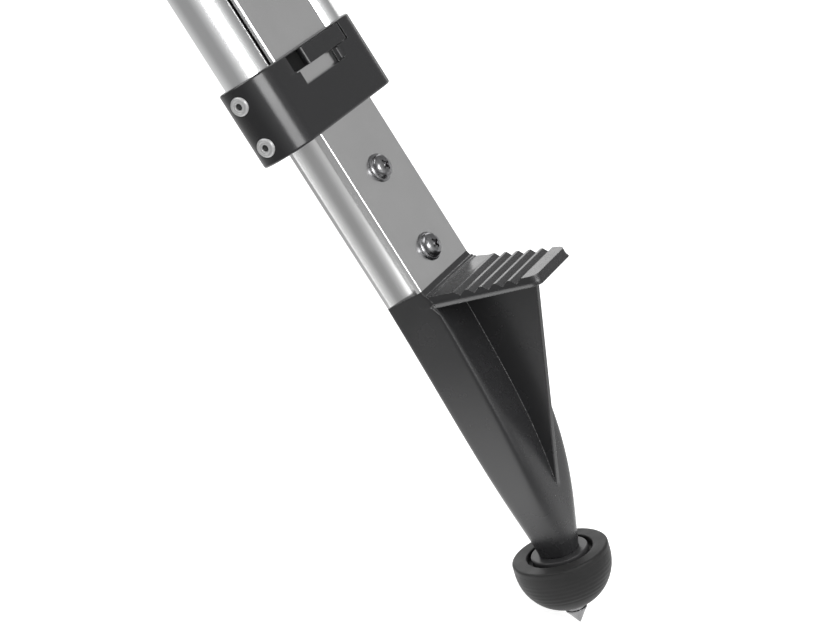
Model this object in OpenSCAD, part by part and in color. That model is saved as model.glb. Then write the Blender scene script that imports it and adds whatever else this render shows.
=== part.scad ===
// Flat-head surveying tripod: three telescoping aluminium legs with flush flip
// clamps, step-on shoes and ball feet that screw up off steel spikes.
// Frame: millimetres, +Z up. The origin is where the fixing screw's axis meets
// the head's flat top face. Each leg is drawn in its own frame, with z along
// the leg and 0 at the lower end of its inner tube, x outwards and y across.

/* [Stance] */
// Angle between each leg and the vertical
splay = 36; // [26:0.5:40]
// Compass angle of leg A; legs B and C follow at thirds of a turn
first_azimuth = -30; // [-60:5:60]
// Distance from the tripod's axis to each leg hinge
hinge_r = 62; // [61:0.5:72]
// Depth of the leg hinge below the head's top face
hinge_drop = 24; // [23:0.5:32]
// Distance from the leg hinge to the lower end of the inner leg tube
leg_reach = 900; // [600:10:1400]
// Length of inner leg tube that shows below the clamp
bared_length = 94.5; // [90:0.5:200]

/* [Rails] */
// Outer diameter of the round rails
rail_d = 25.4; // [22:0.1:28]
// Wall of the round rails
rail_wall = 1.6; // [1:0.1:3]
// Distance between the two rail centres of one leg
rail_spacing = 77.2; // [75:0.1:84]
// Depth of a rail in its sockets' ends, from the cap's lower rim
cap_socket = 34; // [20:1:45]

/* [Inner leg] */
// Width of the inner leg tube across its broad face
tube_w = 55.6; // [53:0.1:58]
// Thickness of the inner leg tube
tube_d = 24; // [22:0.1:26]
// Wall of the inner leg tube
tube_wall = 1.8; // [1.2:0.1:2.4]
// Corner radius of the inner leg tube
tube_corner = 1.2; // [0.6:0.1:1.6]
// Gap between a rail and the inner tube's groove that it sits in
groove_gap = 1.3; // [0.8:0.1:1.6]
// Running gap between a rail and the guide block
guide_gap = 0.4; // [0.3:0.05:0.6]
// Free space above the leg guide, below the leg cap, as the leg stands
top_space = 28; // [26:1:60]
// Height of the guide block that closes the inner leg's top
guide_h = 28; // [20:1:40]
// Depth of the guide block's plug in the tube
guide_plug = 20; // [10:1:30]

/* [Clamp] */
// Height of the clamp housing along the leg
clamp_h = 42.5; // [40:0.5:60]
// Wall of the housing, and of the leg cap's sockets, round the rails
socket_wall = 3.85; // [3.7:0.05:4]
// Closed floor under each rail
clamp_floor = 2.5; // [1.5:0.1:4]
// Gap between the housing and the inner leg
slide_gap = 0.35; // [0.3:0.05:0.5]
// Length of the lever from its free end to its hinge pin
lever_len = 38.8; // [34:0.2:44]
// Height of the lever along the leg
lever_h = 9.4; // [8:0.2:12]
// Thickness of the lever
lever_t = 3.3; // [2.8:0.1:3.4]
// How far the lever stands proud of the housing
lever_proud = 0.4; // [0:0.1:1]
// Distance of the lever's hinge pin from the leg's centre line
lever_pin_y = 29.3; // [29:0.1:30.5]
// Diameter of the lever's hinge pin
lever_pin_d = 2.4; // [2:0.1:2.8]
// Thickness of the web above the lever
lever_lintel = 1; // [0.8:0.1:3]
// Length of the finger pocket beside the lever
finger_len = 13.5; // [10:0.5:16]
// Length of the ramp into the finger pocket
ramp_len = 6; // [3:0.5:8]
// Depth of the ramp at its foot
ramp_depth = 1.4; // [0.8:0.1:2]
// Width of the window below the lever
window_w = 40.5; // [30:0.5:44]
// Height of the window below the lever
window_h = 7; // [5:0.5:9]
// Thickness of the brake pad
pad_t = 1.3; // [1:0.1:1.4]
// Flange diameter of the blind rivets
rivet_d = 10; // [8:0.2:11]
// Shank diameter of the blind rivets
rivet_shank_d = 4.8; // [4:0.1:5]
// Distance of the rivets from the housing's two ends
rivet_edge = 9.3; // [8:0.1:12]
// Distance of the rivets behind the rail's centre
rivet_back = 1; // [0:0.1:2]

/* [Shoe] */
// Length of the shoe from the tube's end to the ball foot, along the leg
shoe_len = 162; // [140:1:190]
// How far the foot's axis is set in from the leg's centre at the ball
foot_inset = 22; // [18:0.5:26]
// Angle between the foot's axis and the leg
foot_tilt = 18; // [15:0.5:21]
// Radius of the shoe's neck across the leg
neck_r = 10.4; // [10:0.1:13]
// Radius of the shoe's neck, front to back
neck_depth_r = 10.5; // [10:0.1:12]
// Extra fullness of the shoe's middle, front to back
shoe_belly = 2.3; // [0:0.1:4]
// How late the shoe's spine bends in towards the foot: 1 is straight
shoe_bow = 2.6; // [2:0.1:3]
// Length of the shoe's plug inside the tube
spigot_len = 78; // [70:1:100]
// Gap round the plug
spigot_gap = 0.15; // [0.1:0.05:0.3]
// Thickness of the central rib below the pedal
rib_t = 4; // [3:0.2:6]
// How far out the rib meets the pedal
rib_out = 59; // [50:1:62]
// Where the rib dies out on the shoe's front, along the leg
rib_end = 135; // [110:1:140]

/* [Pedal] */
// How far out the pedal's edge is from the leg's centre
pedal_out = 70; // [66:1:80]
// Half width of the pedal at its outer edge
pedal_tip_half_w = 19.5; // [16:0.5:24]
// Slope of the pedal away from square to the leg
pedal_slope = 16; // [10:0.5:20]
// Thickness of the pedal at its outer edge
pedal_t = 5.2; // [4.6:0.2:7]
// Height of the collar from the tube's end to the pan
collar_h = 3; // [2:0.1:5]
// How far the collar stands proud of the tube
collar_proud = 1.4; // [0.8:0.1:2.5]
// Where the first tread ridge's crest is, from the leg's centre
ridge_start = 28.2; // [27:0.2:30]
// Distance between two tread ridges
ridge_pitch = 7.35; // [6:0.05:7.6]
// Number of tread ridges
ridge_count = 5; // [3:1:5]
// Height of the tread ridges
ridge_h = 2.6; // [1.6:0.1:3]
// Run of each ridge's steep outer side
ridge_run = 1.3; // [0.8:0.1:2]
// Depth of the pan between the collar and the first ridge
pan_depth = 0.9; // [0.4:0.1:1.4]

/* [Ball foot] */
// Diameter of the rubber ball
ball_d = 52.6; // [48:0.2:56]
// Height of the ball's straight upper side
ball_skirt = 6; // [4:0.5:10]
// Radius of the recess in the ball's top
recess_r = 17.5; // [17:0.1:19]
// Depth of the recess
recess_depth = 4; // [3:0.5:6]
// Radius of the threaded bush's flange
bush_flange_r = 15.5; // [14:0.1:16.5]
// Radius of the threaded bush's body
bush_r = 11; // [9:0.2:12]
// Length of the threaded bush's body
bush_len = 20; // [14:1:22]
// Travel of the ball along the spike's thread
ball_travel = 12; // [9:0.5:14]
// Diameter of the spike's threaded shank
spike_d = 12; // [10:0.5:12]
// Length of the spike's shank inside the shoe
spike_grip = 28; // [20:1:34]
// How far inside the ball the spike's tip is at the end of that travel
tip_cover = 1.3; // [0.5:0.1:4]
// Length of the spike's point
spike_point = 8; // [6:0.5:10]

/* [Foot screws] */
// Height of the lower screw above the tube's end
screw_low = 15; // [12:0.5:18]
// Distance between the two screws
screw_gap = 47.5; // [40:0.5:52]
// Flange diameter of the screws
screw_flange_d = 15.5; // [12:0.5:17]
// Head diameter of the screws
screw_head_d = 13.4; // [9:0.2:14]
// Height of the screws' domed heads
screw_head_h = 4.8; // [3:0.1:5]
// Shank diameter of the screws
screw_d = 4.8; // [4:0.1:6]

/* [Head] */
// Diameter of the head's flat top face
head_d = 150; // [148:1:180]
// Thickness of the head plate
head_t = 10; // [8:0.5:11]
// Diameter of the hole in the head plate
head_hole_d = 68; // [67:1:80]
// Width of each hinge barrel under the head
barrel_w = 44; // [36:1:46]
// Radius of each hinge barrel
barrel_r = 11; // [9:0.5:12]
// Diameter of the leg hinge bolts
hinge_bolt_d = 10; // [8:0.5:10]
// Thickness of the leg cap's two cheeks
cheek_t = 9; // [7:0.5:9]
// Height of the leg cap's block and rail sockets
cap_block_h = 40; // [36:1:50]
// Distance from the hinge down to the leg cap's block
cap_neck = 14; // [13.5:0.5:18]
// Thickness of the bridge between the two rail sockets
bridge_t = 12; // [8:0.5:14]

/* [Fixing screw] */
// Diameter of the instrument screw: three eighths or five eighths of an inch
screw_thread_d = 15.875; // [9.525, 15.875]
// Height of the instrument screw above the head
screw_up = 15; // [12:0.5:20]
// Distance from the tripod's axis to the swing arm's pivot
arm_pivot_r = 52; // [50:0.5:54]
// Width of the swing arm
arm_w = 40; // [36:1:44]
// Thickness of the swing arm
arm_t = 4; // [3:0.5:6]
// How far the swing arm reaches past the tripod's axis
arm_reach = 36; // [34:0.5:38]
// Travel of the fixing screw each way along the arm
arm_travel = 14; // [8:0.5:14]
// Radius of the sliding bush's boss
boss_r = 10.5; // [10:0.1:11]
// Thickness of the sliding bush's flange
flange_t = 3; // [2:0.5:5]
// Radius of the knob
knob_r = 23; // [18:0.5:24]
// Height of the knob
knob_h = 30; // [20:1:40]
// Number of grip lobes round the knob
knob_lobes = 8; // [6:1:12]

/* [Fits] */
// Radial clearance of a shaft in its bore
running_fit = 0.05; // [0.03:0.01:0.1]
// Gap between two faces that turn or slide past each other
face_gap = 0.3; // [0.25:0.05:0.4]

/* [Hidden] */
$fn = 64;

LEG_AZIMUTHS = [for (k = [0:2]) first_azimuth + 120 * k];
// How far a cut runs past the surface that it opens.
through = 1;
// How far a shaft stops short of the end of its blind bore.
end_gap = 0.5;
rail_r = rail_d / 2;
rail_y = rail_spacing / 2;
groove_r = rail_r + groove_gap;
guide_r = rail_r + guide_gap;
clamp_low = bared_length;
clamp_top = clamp_low + clamp_h;
socket_r = rail_r + running_fit + socket_wall;
rail_low = clamp_low + clamp_floor;
cap_top = leg_reach - cap_neck;
cap_low = cap_top - cap_block_h;
rail_top = cap_low + cap_socket;
guide_top = cap_low - top_space;
inner_top = guide_top - guide_h;

// The lever lies in a pocket in the housing's front wall.
lever_front = socket_r + lever_proud;
lever_back = lever_front - lever_t;
lever_barrel_extra = 0.7;
lever_barrel_r = lever_t / 2 + lever_barrel_extra;
lever_pin_x = lever_front - lever_barrel_r;
lever_corner = 3;
pin_from = end_gap;
ramp_edge = 1;
lever_top = clamp_top - lever_lintel - face_gap;
lever_low = lever_top - lever_h;
pocket_low = lever_low - face_gap;
pocket_top = lever_top + face_gap;
lever_tip_y = lever_pin_y - lever_len;
pocket_end_y = lever_tip_y - finger_len;
pad_gap = 0.15;
pad_back = tube_d / 2 + pad_gap;
pad_end_gap = 1;

// The foot's axis leaves the leg at foot_tilt. Depths along it are counted from
// the ball's top face.
foot_origin = [-foot_inset, 0, -shoe_len];
neck_end = 0.4;
spike_tip_w = 0.4;
spike_reach = ball_skirt + ball_d / 2 + ball_travel - tip_cover;
bush_top = neck_end + face_gap;
ball_r = ball_d / 2;
spike_r = spike_d / 2;
spike_hole_gap = 0.4;

pedal_root = tube_d / 2 + collar_proud;
// How far the tread's crests start below the collar.
tread_drop = 0.9;
// How far before the first crest the pan ends.
pan_end = 3;
// Share of a ridge pitch between the last crest and the lip.
lip_part = 0.62;
pedal_fall = tan(pedal_slope);
pedal_corner = 4;
loft_rings = 18;
loft_points = 40;
spine_end = [-foot_inset - neck_end * sin(foot_tilt), -shoe_len - neck_end * cos(foot_tilt)];
screw_flange_t = 1.1;
slot_w = 1.3;
slot_len = 6.4;
slot_deep = 1.6;

arm_top = -head_t - face_gap;
bush_flange_top = arm_top - arm_t - face_gap;
knob_top = bush_flange_top - flange_t - face_gap;
ring_lift = 0.2;
ring_low = ring_lift - head_t;
ring_h = 2;
cheek_out = barrel_w / 2 + face_gap + cheek_t;
cheek_r = barrel_r + 1;
bolt_head_r = 8.5;
bolt_head_h = 6;
arm_bolt_r = 4;
arm_bolt_head_r = 8;
arm_bolt_head_h = 4;
arm_bolt_grip = 8;
arm_eye_r = 14;
lobe_r = 4.5;

// The screw is full size from its shoulder up, and slimmer below it.
screw_r = screw_thread_d / 2;
screw_shank_r = screw_r - 0.45;
screw_shoulder = -2;
screw_chamfer = 1.5;

clamp_rivet_heights = [clamp_low + rivet_edge, clamp_top - rivet_edge];
cap_rivet_heights = [cap_low + rivet_edge, rail_top - rivet_edge];
rivet_heights = concat(clamp_rivet_heights, cap_rivet_heights);
rivet_flange_t = 1.1;
rivet_bore_r = 1.4;
rivet_tail = 2;

// Puts a leg's own frame in the tripod's frame.
module in_leg(k) {
    rotate([0, 0, LEG_AZIMUTHS[k]])
        translate([hinge_r, 0, -hinge_drop])
            rotate([0, -splay, 0])
                translate([0, 0, -leg_reach])
                    children();
}

// Puts the foot's own frame in the leg's frame: +Z runs up the spike's axis.
module on_foot_axis() {
    translate(foot_origin)
        rotate([0, foot_tilt, 0])
            children();
}

// A bar along y, centred, of radius r.
module cross_bar(r, length) {
    rotate([90, 0, 0])
        cylinder(r = r, h = length, center = true);
}

module rounded_rect(d, w, r) {
    square([d, w - 2 * r], center = true);
    square([d - 2 * r, w], center = true);
    for (sx = [-1, 1], sy = [-1, 1])
        translate([sx * (d / 2 - r), sy * (w / 2 - r)])
            circle(r);
}

// The inner leg's outline, grown all round by grow.
module leg_outline(grow) {
    difference() {
        rounded_rect(tube_d + 2 * grow, tube_w + 2 * grow, max(0.2, tube_corner + min(grow, 0)));
        for (sy = [-1, 1])
            translate([0, sy * rail_y])
                circle(groove_r - grow);
    }
}

// A bar with two round ends, one on each rail's axis.
module stadium(r) {
    square([2 * r, rail_spacing], center = true);
    for (sy = [-1, 1])
        translate([0, sy * rail_y])
            circle(r);
}

module at_heights(list) {
    for (z = list)
        translate([0, 0, z])
            children();
}

// Puts a rivet's own frame in the leg's frame: +Z runs out of the rail.
module at_rivets() {
    for (sy = [-1, 1])
        at_heights(rivet_heights)
            translate([-rivet_back, sy * rail_y, 0])
                rotate([-sy * 90, 0, 0])
                    children();
}

module rivet_bores() {
    at_rivets()
        translate([0, 0, rail_r / 2])
            cylinder(r = rivet_shank_d / 2 + running_fit, h = socket_r - rail_r / 2 + through);
}

module rail(side) {
    color([0.86, 0.87, 0.88])
        difference() {
            translate([0, side * rail_y, rail_low])
                cylinder(r = rail_r, h = rail_top - rail_low);
            translate([0, side * rail_y, rail_low - through])
                cylinder(r = rail_r - rail_wall, h = rail_top - rail_low + 2 * through);
            rivet_bores();
        }
}

module leg_cap() {
    color([0.16, 0.16, 0.17])
        difference() {
            union() {
                for (sy = [-1, 1]) {
                    translate([0, sy * rail_y, cap_low])
                        cylinder(r = socket_r, h = cap_block_h);
                    translate([0, sy * (cheek_out - cheek_t / 2), leg_reach])
                        cross_bar(cheek_r, cheek_t);
                    translate([-cheek_r, sy * (cheek_out - cheek_t / 2) - cheek_t / 2, cap_top - bridge_t])
                        cube([2 * cheek_r, cheek_t, leg_reach - cap_top + bridge_t]);
                }
                translate([-cheek_r, -rail_y, cap_top - bridge_t])
                    cube([2 * cheek_r, rail_spacing, bridge_t]);
            }
            for (sy = [-1, 1])
                translate([0, sy * rail_y, cap_low - through])
                    cylinder(r = rail_r + running_fit, h = cap_socket + through);
            translate([0, 0, leg_reach])
                cross_bar(hinge_bolt_d / 2 + running_fit, 2 * (cheek_out + through));
            rivet_bores();
        }
}

module leg_rivets() {
    tail_end = rail_r - rail_wall - rivet_tail;
    color([0.8, 0.8, 0.82])
        difference() {
            at_rivets()
                difference() {
                    union() {
                        translate([0, 0, socket_r - rivet_flange_t])
                            cylinder(r = rivet_d / 2, h = 2 * rivet_flange_t);
                        translate([0, 0, tail_end])
                            cylinder(r = rivet_shank_d / 2, h = socket_r - tail_end);
                    }
                    translate([0, 0, socket_r - 2 * rivet_flange_t])
                        cylinder(r = rivet_bore_r, h = 4 * rivet_flange_t);
                }
            for (sy = [-1, 1])
                at_heights(rivet_heights)
                    translate([0, sy * rail_y, 0])
                        difference() {
                            cylinder(r = socket_r, h = rivet_d + 2 * through, center = true);
                            translate([-rivet_back, 0, 0])
                                cross_bar(rivet_shank_d / 2, 3 * socket_r);
                        }
        }
}

module clamp_housing() {
    front = lever_front + through;
    color([0.13, 0.13, 0.14])
        difference() {
            translate([0, 0, clamp_low])
                linear_extrude(clamp_h)
                    stadium(socket_r);
            for (sy = [-1, 1])
                translate([0, sy * rail_y, rail_low])
                    cylinder(r = rail_r + running_fit, h = clamp_h);
            translate([-tube_d / 2 - slide_gap, -tube_w / 2 - slide_gap, clamp_low - through])
                cube([tube_d + 2 * slide_gap, tube_w + 2 * slide_gap, clamp_h + 2 * through]);
            translate([0, pocket_end_y, pocket_low])
                cube([front, lever_pin_y - pocket_end_y, pocket_top - pocket_low]);
            translate([lever_pin_x, lever_pin_y, pocket_low])
                cylinder(r = lever_barrel_r + face_gap, h = pocket_top - pocket_low);
            translate([lever_pin_x, lever_pin_y - through, pocket_low])
                cube([front - lever_pin_x, lever_barrel_r + face_gap + through, pocket_top - pocket_low]);
            translate([0, -window_w / 2, pocket_low - window_h])
                cube([front, window_w, window_h + through]);
            translate([0, 0, pocket_low + ramp_edge])
                linear_extrude(pocket_top - pocket_low - ramp_edge)
                    polygon([
                        [socket_r, pocket_end_y - ramp_len],
                        [socket_r + through, pocket_end_y - ramp_len],
                        [socket_r + through, pocket_end_y + through],
                        [socket_r - ramp_depth, pocket_end_y + through],
                        [socket_r - ramp_depth, pocket_end_y]
                    ]);
            translate([lever_pin_x, lever_pin_y, clamp_low + clamp_h / 2 - pin_from])
                cylinder(r = lever_pin_d / 2 + running_fit, h = clamp_h);
            rivet_bores();
        }
}

module lever_pin() {
    color([0.75, 0.75, 0.77])
        translate([lever_pin_x, lever_pin_y, clamp_low + clamp_h / 2])
            cylinder(r = lever_pin_d / 2, h = clamp_h / 2);
}

module clamp_lever() {
    depth = 2 * lever_t;
    color([0.15, 0.15, 0.16])
        difference() {
            union() {
                translate([lever_back, lever_tip_y, lever_low])
                    cube([lever_t, lever_len, lever_h]);
                translate([lever_pin_x, lever_pin_y, lever_low])
                    cylinder(r = lever_barrel_r, h = lever_h);
            }
            translate([lever_pin_x, lever_pin_y, lever_low - through])
                cylinder(r = lever_pin_d / 2 + running_fit, h = lever_h + 2 * through);
            translate([lever_front - depth, lever_pin_y + lever_barrel_r - lever_corner, lever_low - through])
                difference() {
                    cube([depth + through, lever_corner + through, lever_corner + through]);
                    translate([-through, 0, lever_corner + through])
                        rotate([0, 90, 0])
                            cylinder(r = lever_corner, h = depth + 3 * through);
                }
        }
}

module brake_pad() {
    color([0.1, 0.1, 0.1])
        translate([pad_back, pocket_end_y + pad_end_gap, lever_low])
            cube([pad_t, lever_pin_y - lever_barrel_r - 2 * pad_end_gap - pocket_end_y, lever_h]);
}

module inner_leg() {
    color([0.78, 0.79, 0.8])
        difference() {
            linear_extrude(inner_top)
                leg_outline(0);
            translate([0, 0, -through])
                linear_extrude(inner_top + 2 * through)
                    leg_outline(-tube_wall);
            at_heights([screw_low, screw_low + screw_gap])
                rotate([0, 90, 0])
                    cylinder(r = screw_d / 2 + running_fit, h = tube_d);
        }
}

module leg_guide() {
    horn = 5;
    lip = 2;
    color([0.12, 0.12, 0.12])
        union() {
            translate([0, 0, inner_top])
                linear_extrude(guide_h)
                    difference() {
                        rounded_rect(tube_d + 2 * lip, tube_w + 2 * horn, 1);
                        for (sy = [-1, 1])
                            translate([0, sy * rail_y])
                                circle(guide_r);
                    }
            translate([0, 0, inner_top - guide_plug])
                linear_extrude(guide_plug + through)
                    leg_outline(-tube_wall - spigot_gap);
        }
}

module foot_screws() {
    dome_r = screw_head_d * 0.75;
    color([0.75, 0.75, 0.76])
        at_heights([screw_low, screw_low + screw_gap])
            translate([tube_d / 2, 0, 0])
                rotate([0, 90, 0])
                    difference() {
                        union() {
                            cylinder(r = screw_flange_d / 2, h = screw_flange_t);
                            intersection() {
                                cylinder(r = screw_head_d / 2, h = screw_head_h);
                                translate([0, 0, screw_head_h - dome_r])
                                    sphere(r = dome_r);
                            }
                            translate([0, 0, end_gap - tube_d / 2])
                                cylinder(r = screw_d / 2, h = tube_d / 2);
                        }
                        for (a = [0, 90])
                            rotate([0, 0, a])
                                translate([-slot_len / 2, -slot_w / 2, screw_head_h - slot_deep])
                                    cube([slot_len, slot_w, slot_deep + through]);
                    }
}

// The shoe's spine: a curve from the tube's axis to the foot's axis, as [x, z].
// Sections along it, by t from 0 to 1, turn from square to round.
function spine_at(t) =
    [spine_end[0] * pow(t, shoe_bow), spine_end[1] * t];
function tilt_at(t) =
    foot_tilt * pow(t, 1.5);
function half_w_at(t) =
    neck_r + (tube_w / 2 - neck_r) * (1 - pow(t, 3.7));
function half_d_at(t) =
    tube_d / 2 + (neck_depth_r - tube_d / 2) * t + shoe_belly * sin(180 * t);
function squareness_at(t) =
    2.4 + 9 * pow(1 - t, 0.8);
function signed_pow(v, e) =
    sign(v) * pow(abs(v), e);
// One point of the shoe's section at t, at angle a round it.
function shoe_point(t, a) =
    let (
        c = spine_at(t),
        out = [cos(tilt_at(t)), -sin(tilt_at(t))],
        e = 2 / squareness_at(t),
        d = half_d_at(t) * signed_pow(sin(a), e),
        w = half_w_at(t) * signed_pow(cos(a), e)
    )
    [c[0] + out[0] * d, w, c[1] + out[1] * d];

module shoe_loft() {
    points = [
        for (i = [0:loft_rings], j = [0:loft_points - 1])
            shoe_point(i / loft_rings, 360 * (j + 0.5) / loft_points)
    ];
    walls = [
        for (i = [0:loft_rings - 1], j = [0:loft_points - 1])
            let (
                k = (j + 1) % loft_points,
                p = i * loft_points + j,
                q = i * loft_points + k
            )
            each [[p, q + loft_points, q], [p, p + loft_points, q + loft_points]]
    ];
    top = [for (j = [0:loft_points - 1]) j];
    bottom = [for (j = [loft_points - 1:-1:0]) loft_rings * loft_points + j];
    polyhedron(points = points, faces = concat(walls, [top], [bottom]));
}

// The pedal's side view as [x, z], extruded across the leg and cut to its
// tapered plan. Its ridges rise gently outwards and end in a steep side.
function tread_z(x) =
    -collar_h - tread_drop - (x - pedal_root) * pedal_fall;

module pedal() {
    pan_from = pedal_root + 1;
    pan_to = ridge_start - pan_end;
    ridges = [
        for (i = [0:ridge_count - 1])
            let (crest = ridge_start + i * ridge_pitch, valley = crest + ridge_run)
            each [[crest, tread_z(crest)], [valley, tread_z(valley) - ridge_h]]
    ];
    lip = ridge_start + (ridge_count - 1 + lip_part) * ridge_pitch;
    side = concat(
        [
            [tube_d / 4, -collar_h],
            [pedal_root, -collar_h],
            [pan_from, tread_z(pan_from) - pan_depth],
            [pan_to, tread_z(pan_to) - pan_depth]
        ],
        ridges,
        [
            [lip, tread_z(lip)],
            [pedal_out, tread_z(pedal_out)],
            [pedal_out, tread_z(pedal_out) - pedal_t],
            [tube_d / 4, tread_z(pedal_root) - pedal_t - pan_depth]
        ]
    );
    tip_w = pedal_tip_half_w + 0.5;
    intersection() {
        translate([0, tube_w, 0])
            rotate([90, 0, 0])
                linear_extrude(2 * tube_w)
                    polygon(side);
        translate([0, 0, -pedal_out])
            linear_extrude(2 * pedal_out)
                union() {
                    polygon([
                        [0, -tube_w / 2],
                        [pedal_root, -tube_w / 2],
                        [pedal_out - pedal_corner, -tip_w],
                        [pedal_out - pedal_corner, tip_w],
                        [pedal_root, tube_w / 2],
                        [0, tube_w / 2]
                    ]);
                    for (sy = [-1, 1])
                        translate([pedal_out - pedal_corner, sy * (tip_w - pedal_corner)])
                            circle(pedal_corner);
                    translate([pedal_out - pedal_corner, pedal_corner - tip_w])
                        square([pedal_corner, 2 * (tip_w - pedal_corner)]);
                }
    }
}

module rib() {
    translate([0, rib_t / 2, 0])
        rotate([90, 0, 0])
            linear_extrude(rib_t)
                polygon([
                    [tube_d / 4, -collar_h - pedal_t],
                    [rib_out, tread_z(rib_out) - pedal_t / 2],
                    [rib_out, tread_z(rib_out) - pedal_t],
                    [-3, -rib_end],
                    [-10, -rib_end],
                    [tube_d / 4, -rib_end / 2]
                ]);
}

module foot_shoe() {
    color([0.14, 0.14, 0.15])
        difference() {
            union() {
                shoe_loft();
                pedal();
                rib();
                translate([0, 0, -collar_h])
                    linear_extrude(spigot_len + collar_h)
                        leg_outline(-tube_wall - spigot_gap);
            }
            on_foot_axis()
                translate([0, 0, -through])
                    cylinder(r = spike_r + running_fit, h = spike_grip + end_gap + through);
            at_heights([screw_low, screw_low + screw_gap])
                rotate([0, 90, 0])
                    cylinder(r = screw_d / 2 + running_fit, h = tube_d);
        }
}

module spike() {
    color([0.72, 0.72, 0.74])
        on_foot_axis()
            union() {
                translate([0, 0, -spike_reach + spike_point])
                    cylinder(r = spike_r, h = spike_reach - spike_point + spike_grip);
                translate([0, 0, -spike_reach])
                    cylinder(r1 = spike_tip_w, r2 = spike_r, h = spike_point);
            }
}

module ball_foot() {
    color([0.12, 0.12, 0.12])
        on_foot_axis()
            difference() {
                union() {
                    translate([0, 0, -ball_skirt])
                        cylinder(r = ball_r, h = ball_skirt);
                    intersection() {
                        translate([0, 0, -ball_skirt])
                            sphere(r = ball_r);
                        translate([0, 0, -ball_skirt - ball_r])
                            cylinder(r = 2 * ball_r, h = ball_r + 0.1);
                    }
                }
                translate([0, 0, -recess_depth])
                    cylinder(r = recess_r, h = recess_depth + through);
                translate([0, 0, -recess_depth - bush_len])
                    cylinder(r = bush_r + running_fit, h = bush_len + through);
                translate([0, 0, -ball_skirt - ball_r - through])
                    cylinder(r = spike_r + spike_hole_gap, h = ball_r + ball_skirt + 2 * through);
            }
}

module ball_bush() {
    color([0.3, 0.3, 0.31])
        on_foot_axis()
            difference() {
                union() {
                    translate([0, 0, -recess_depth])
                        cylinder(r = bush_flange_r, h = recess_depth - bush_top);
                    translate([0, 0, -recess_depth - bush_len])
                        cylinder(r = bush_r, h = bush_len + 0.5);
                }
                translate([0, 0, -recess_depth - bush_len - through])
                    cylinder(r = spike_r + running_fit, h = recess_depth + bush_len + 2 * through);
            }
}

module at_hinges() {
    for (a = LEG_AZIMUTHS)
        rotate([0, 0, a])
            translate([hinge_r, 0, -hinge_drop])
                children();
}

// The swing arm's pivot lies opposite leg A, and the arm runs along +x here.
module at_arm_pivot() {
    rotate([0, 0, first_azimuth])
        translate([-arm_pivot_r, 0, 0])
            children();
}

module head_plate() {
    color([0.2, 0.2, 0.21])
        difference() {
            union() {
                translate([0, 0, -head_t])
                    cylinder(r = head_d / 2, h = head_t);
                at_hinges() {
                    cross_bar(barrel_r, barrel_w);
                    translate([-barrel_r, -barrel_w / 2, 0])
                        cube([2 * barrel_r, barrel_w, hinge_drop - head_t / 2]);
                }
            }
            translate([0, 0, -head_t - through])
                cylinder(r = head_hole_d / 2, h = head_t + 2 * through);
            at_hinges()
                cross_bar(hinge_bolt_d / 2 + running_fit, barrel_w + 2 * through);
            at_arm_pivot()
                translate([0, 0, -head_t - through])
                    cylinder(r = arm_bolt_r + running_fit, h = arm_bolt_grip + through);
        }
}

module hinge_bolts() {
    color([0.7, 0.7, 0.72])
        at_hinges() {
            cross_bar(hinge_bolt_d / 2, 2 * (cheek_out + face_gap));
            translate([0, -cheek_out - face_gap - bolt_head_h / 2, 0])
                cross_bar(bolt_head_r, bolt_head_h);
            translate([0, cheek_out + face_gap + bolt_head_h / 2, 0])
                cross_bar(hinge_bolt_d / 2, bolt_head_h);
        }
}

module hinge_nuts() {
    color([0.65, 0.65, 0.67])
        at_hinges()
            translate([0, cheek_out + face_gap + bolt_head_h / 2, 0])
                rotate([90, 0, 0])
                    difference() {
                        cylinder(r = bolt_head_r, h = bolt_head_h, center = true, $fn = 6);
                        cylinder(r = hinge_bolt_d / 2 + running_fit, h = 2 * bolt_head_h, center = true);
                    }
}

module arm_bolt() {
    color([0.7, 0.7, 0.72])
        at_arm_pivot() {
            translate([0, 0, bush_flange_top - arm_bolt_head_h])
                cylinder(r = arm_bolt_head_r, h = arm_bolt_head_h);
            translate([0, 0, bush_flange_top - through])
                cylinder(r = arm_bolt_r, h = arm_bolt_grip - end_gap - head_t - bush_flange_top + through);
        }
}

module swing_arm() {
    end_r = arm_w / 2;
    pad_from = arm_pivot_r - arm_travel - end_r + 4;
    color([0.7, 0.7, 0.71])
        at_arm_pivot()
            translate([0, 0, arm_top - arm_t])
                linear_extrude(arm_t)
                    difference() {
                        union() {
                            circle(r = arm_eye_r);
                            translate([0, -arm_eye_r])
                                square([arm_pivot_r, 2 * arm_eye_r]);
                            translate([pad_from, -end_r])
                                square([arm_pivot_r + arm_reach - end_r - pad_from, arm_w]);
                            translate([pad_from, 0])
                                circle(end_r);
                            translate([arm_pivot_r + arm_reach - end_r, 0])
                                circle(end_r);
                        }
                        circle(r = arm_bolt_r + running_fit);
                        translate([arm_pivot_r, 0]) {
                            square([2 * arm_travel, 2 * (boss_r + face_gap)], center = true);
                            for (sx = [-1, 1])
                                translate([sx * arm_travel, 0])
                                    circle(boss_r + face_gap);
                        }
                    }
}

module slide_bush() {
    color([0.75, 0.6, 0.3])
        difference() {
            union() {
                translate([0, 0, bush_flange_top - flange_t])
                    cylinder(r = boss_r + 5, h = flange_t);
                translate([0, 0, bush_flange_top - through])
                    cylinder(r = boss_r, h = ring_low - face_gap - bush_flange_top + through);
            }
            translate([0, 0, bush_flange_top - flange_t - through])
                cylinder(r = screw_shank_r + running_fit, h = ring_low - bush_flange_top + 2 * flange_t);
        }
}

module fixing_screw() {
    color([0.72, 0.62, 0.35])
        union() {
            translate([0, 0, knob_top - knob_h / 2])
                cylinder(r = screw_shank_r, h = screw_shoulder + through - knob_top + knob_h / 2);
            translate([0, 0, screw_shoulder])
                cylinder(r = screw_r, h = screw_up - screw_chamfer - screw_shoulder);
            translate([0, 0, screw_up - screw_chamfer])
                cylinder(r1 = screw_r, r2 = screw_r - screw_chamfer, h = screw_chamfer);
        }
}

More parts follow.
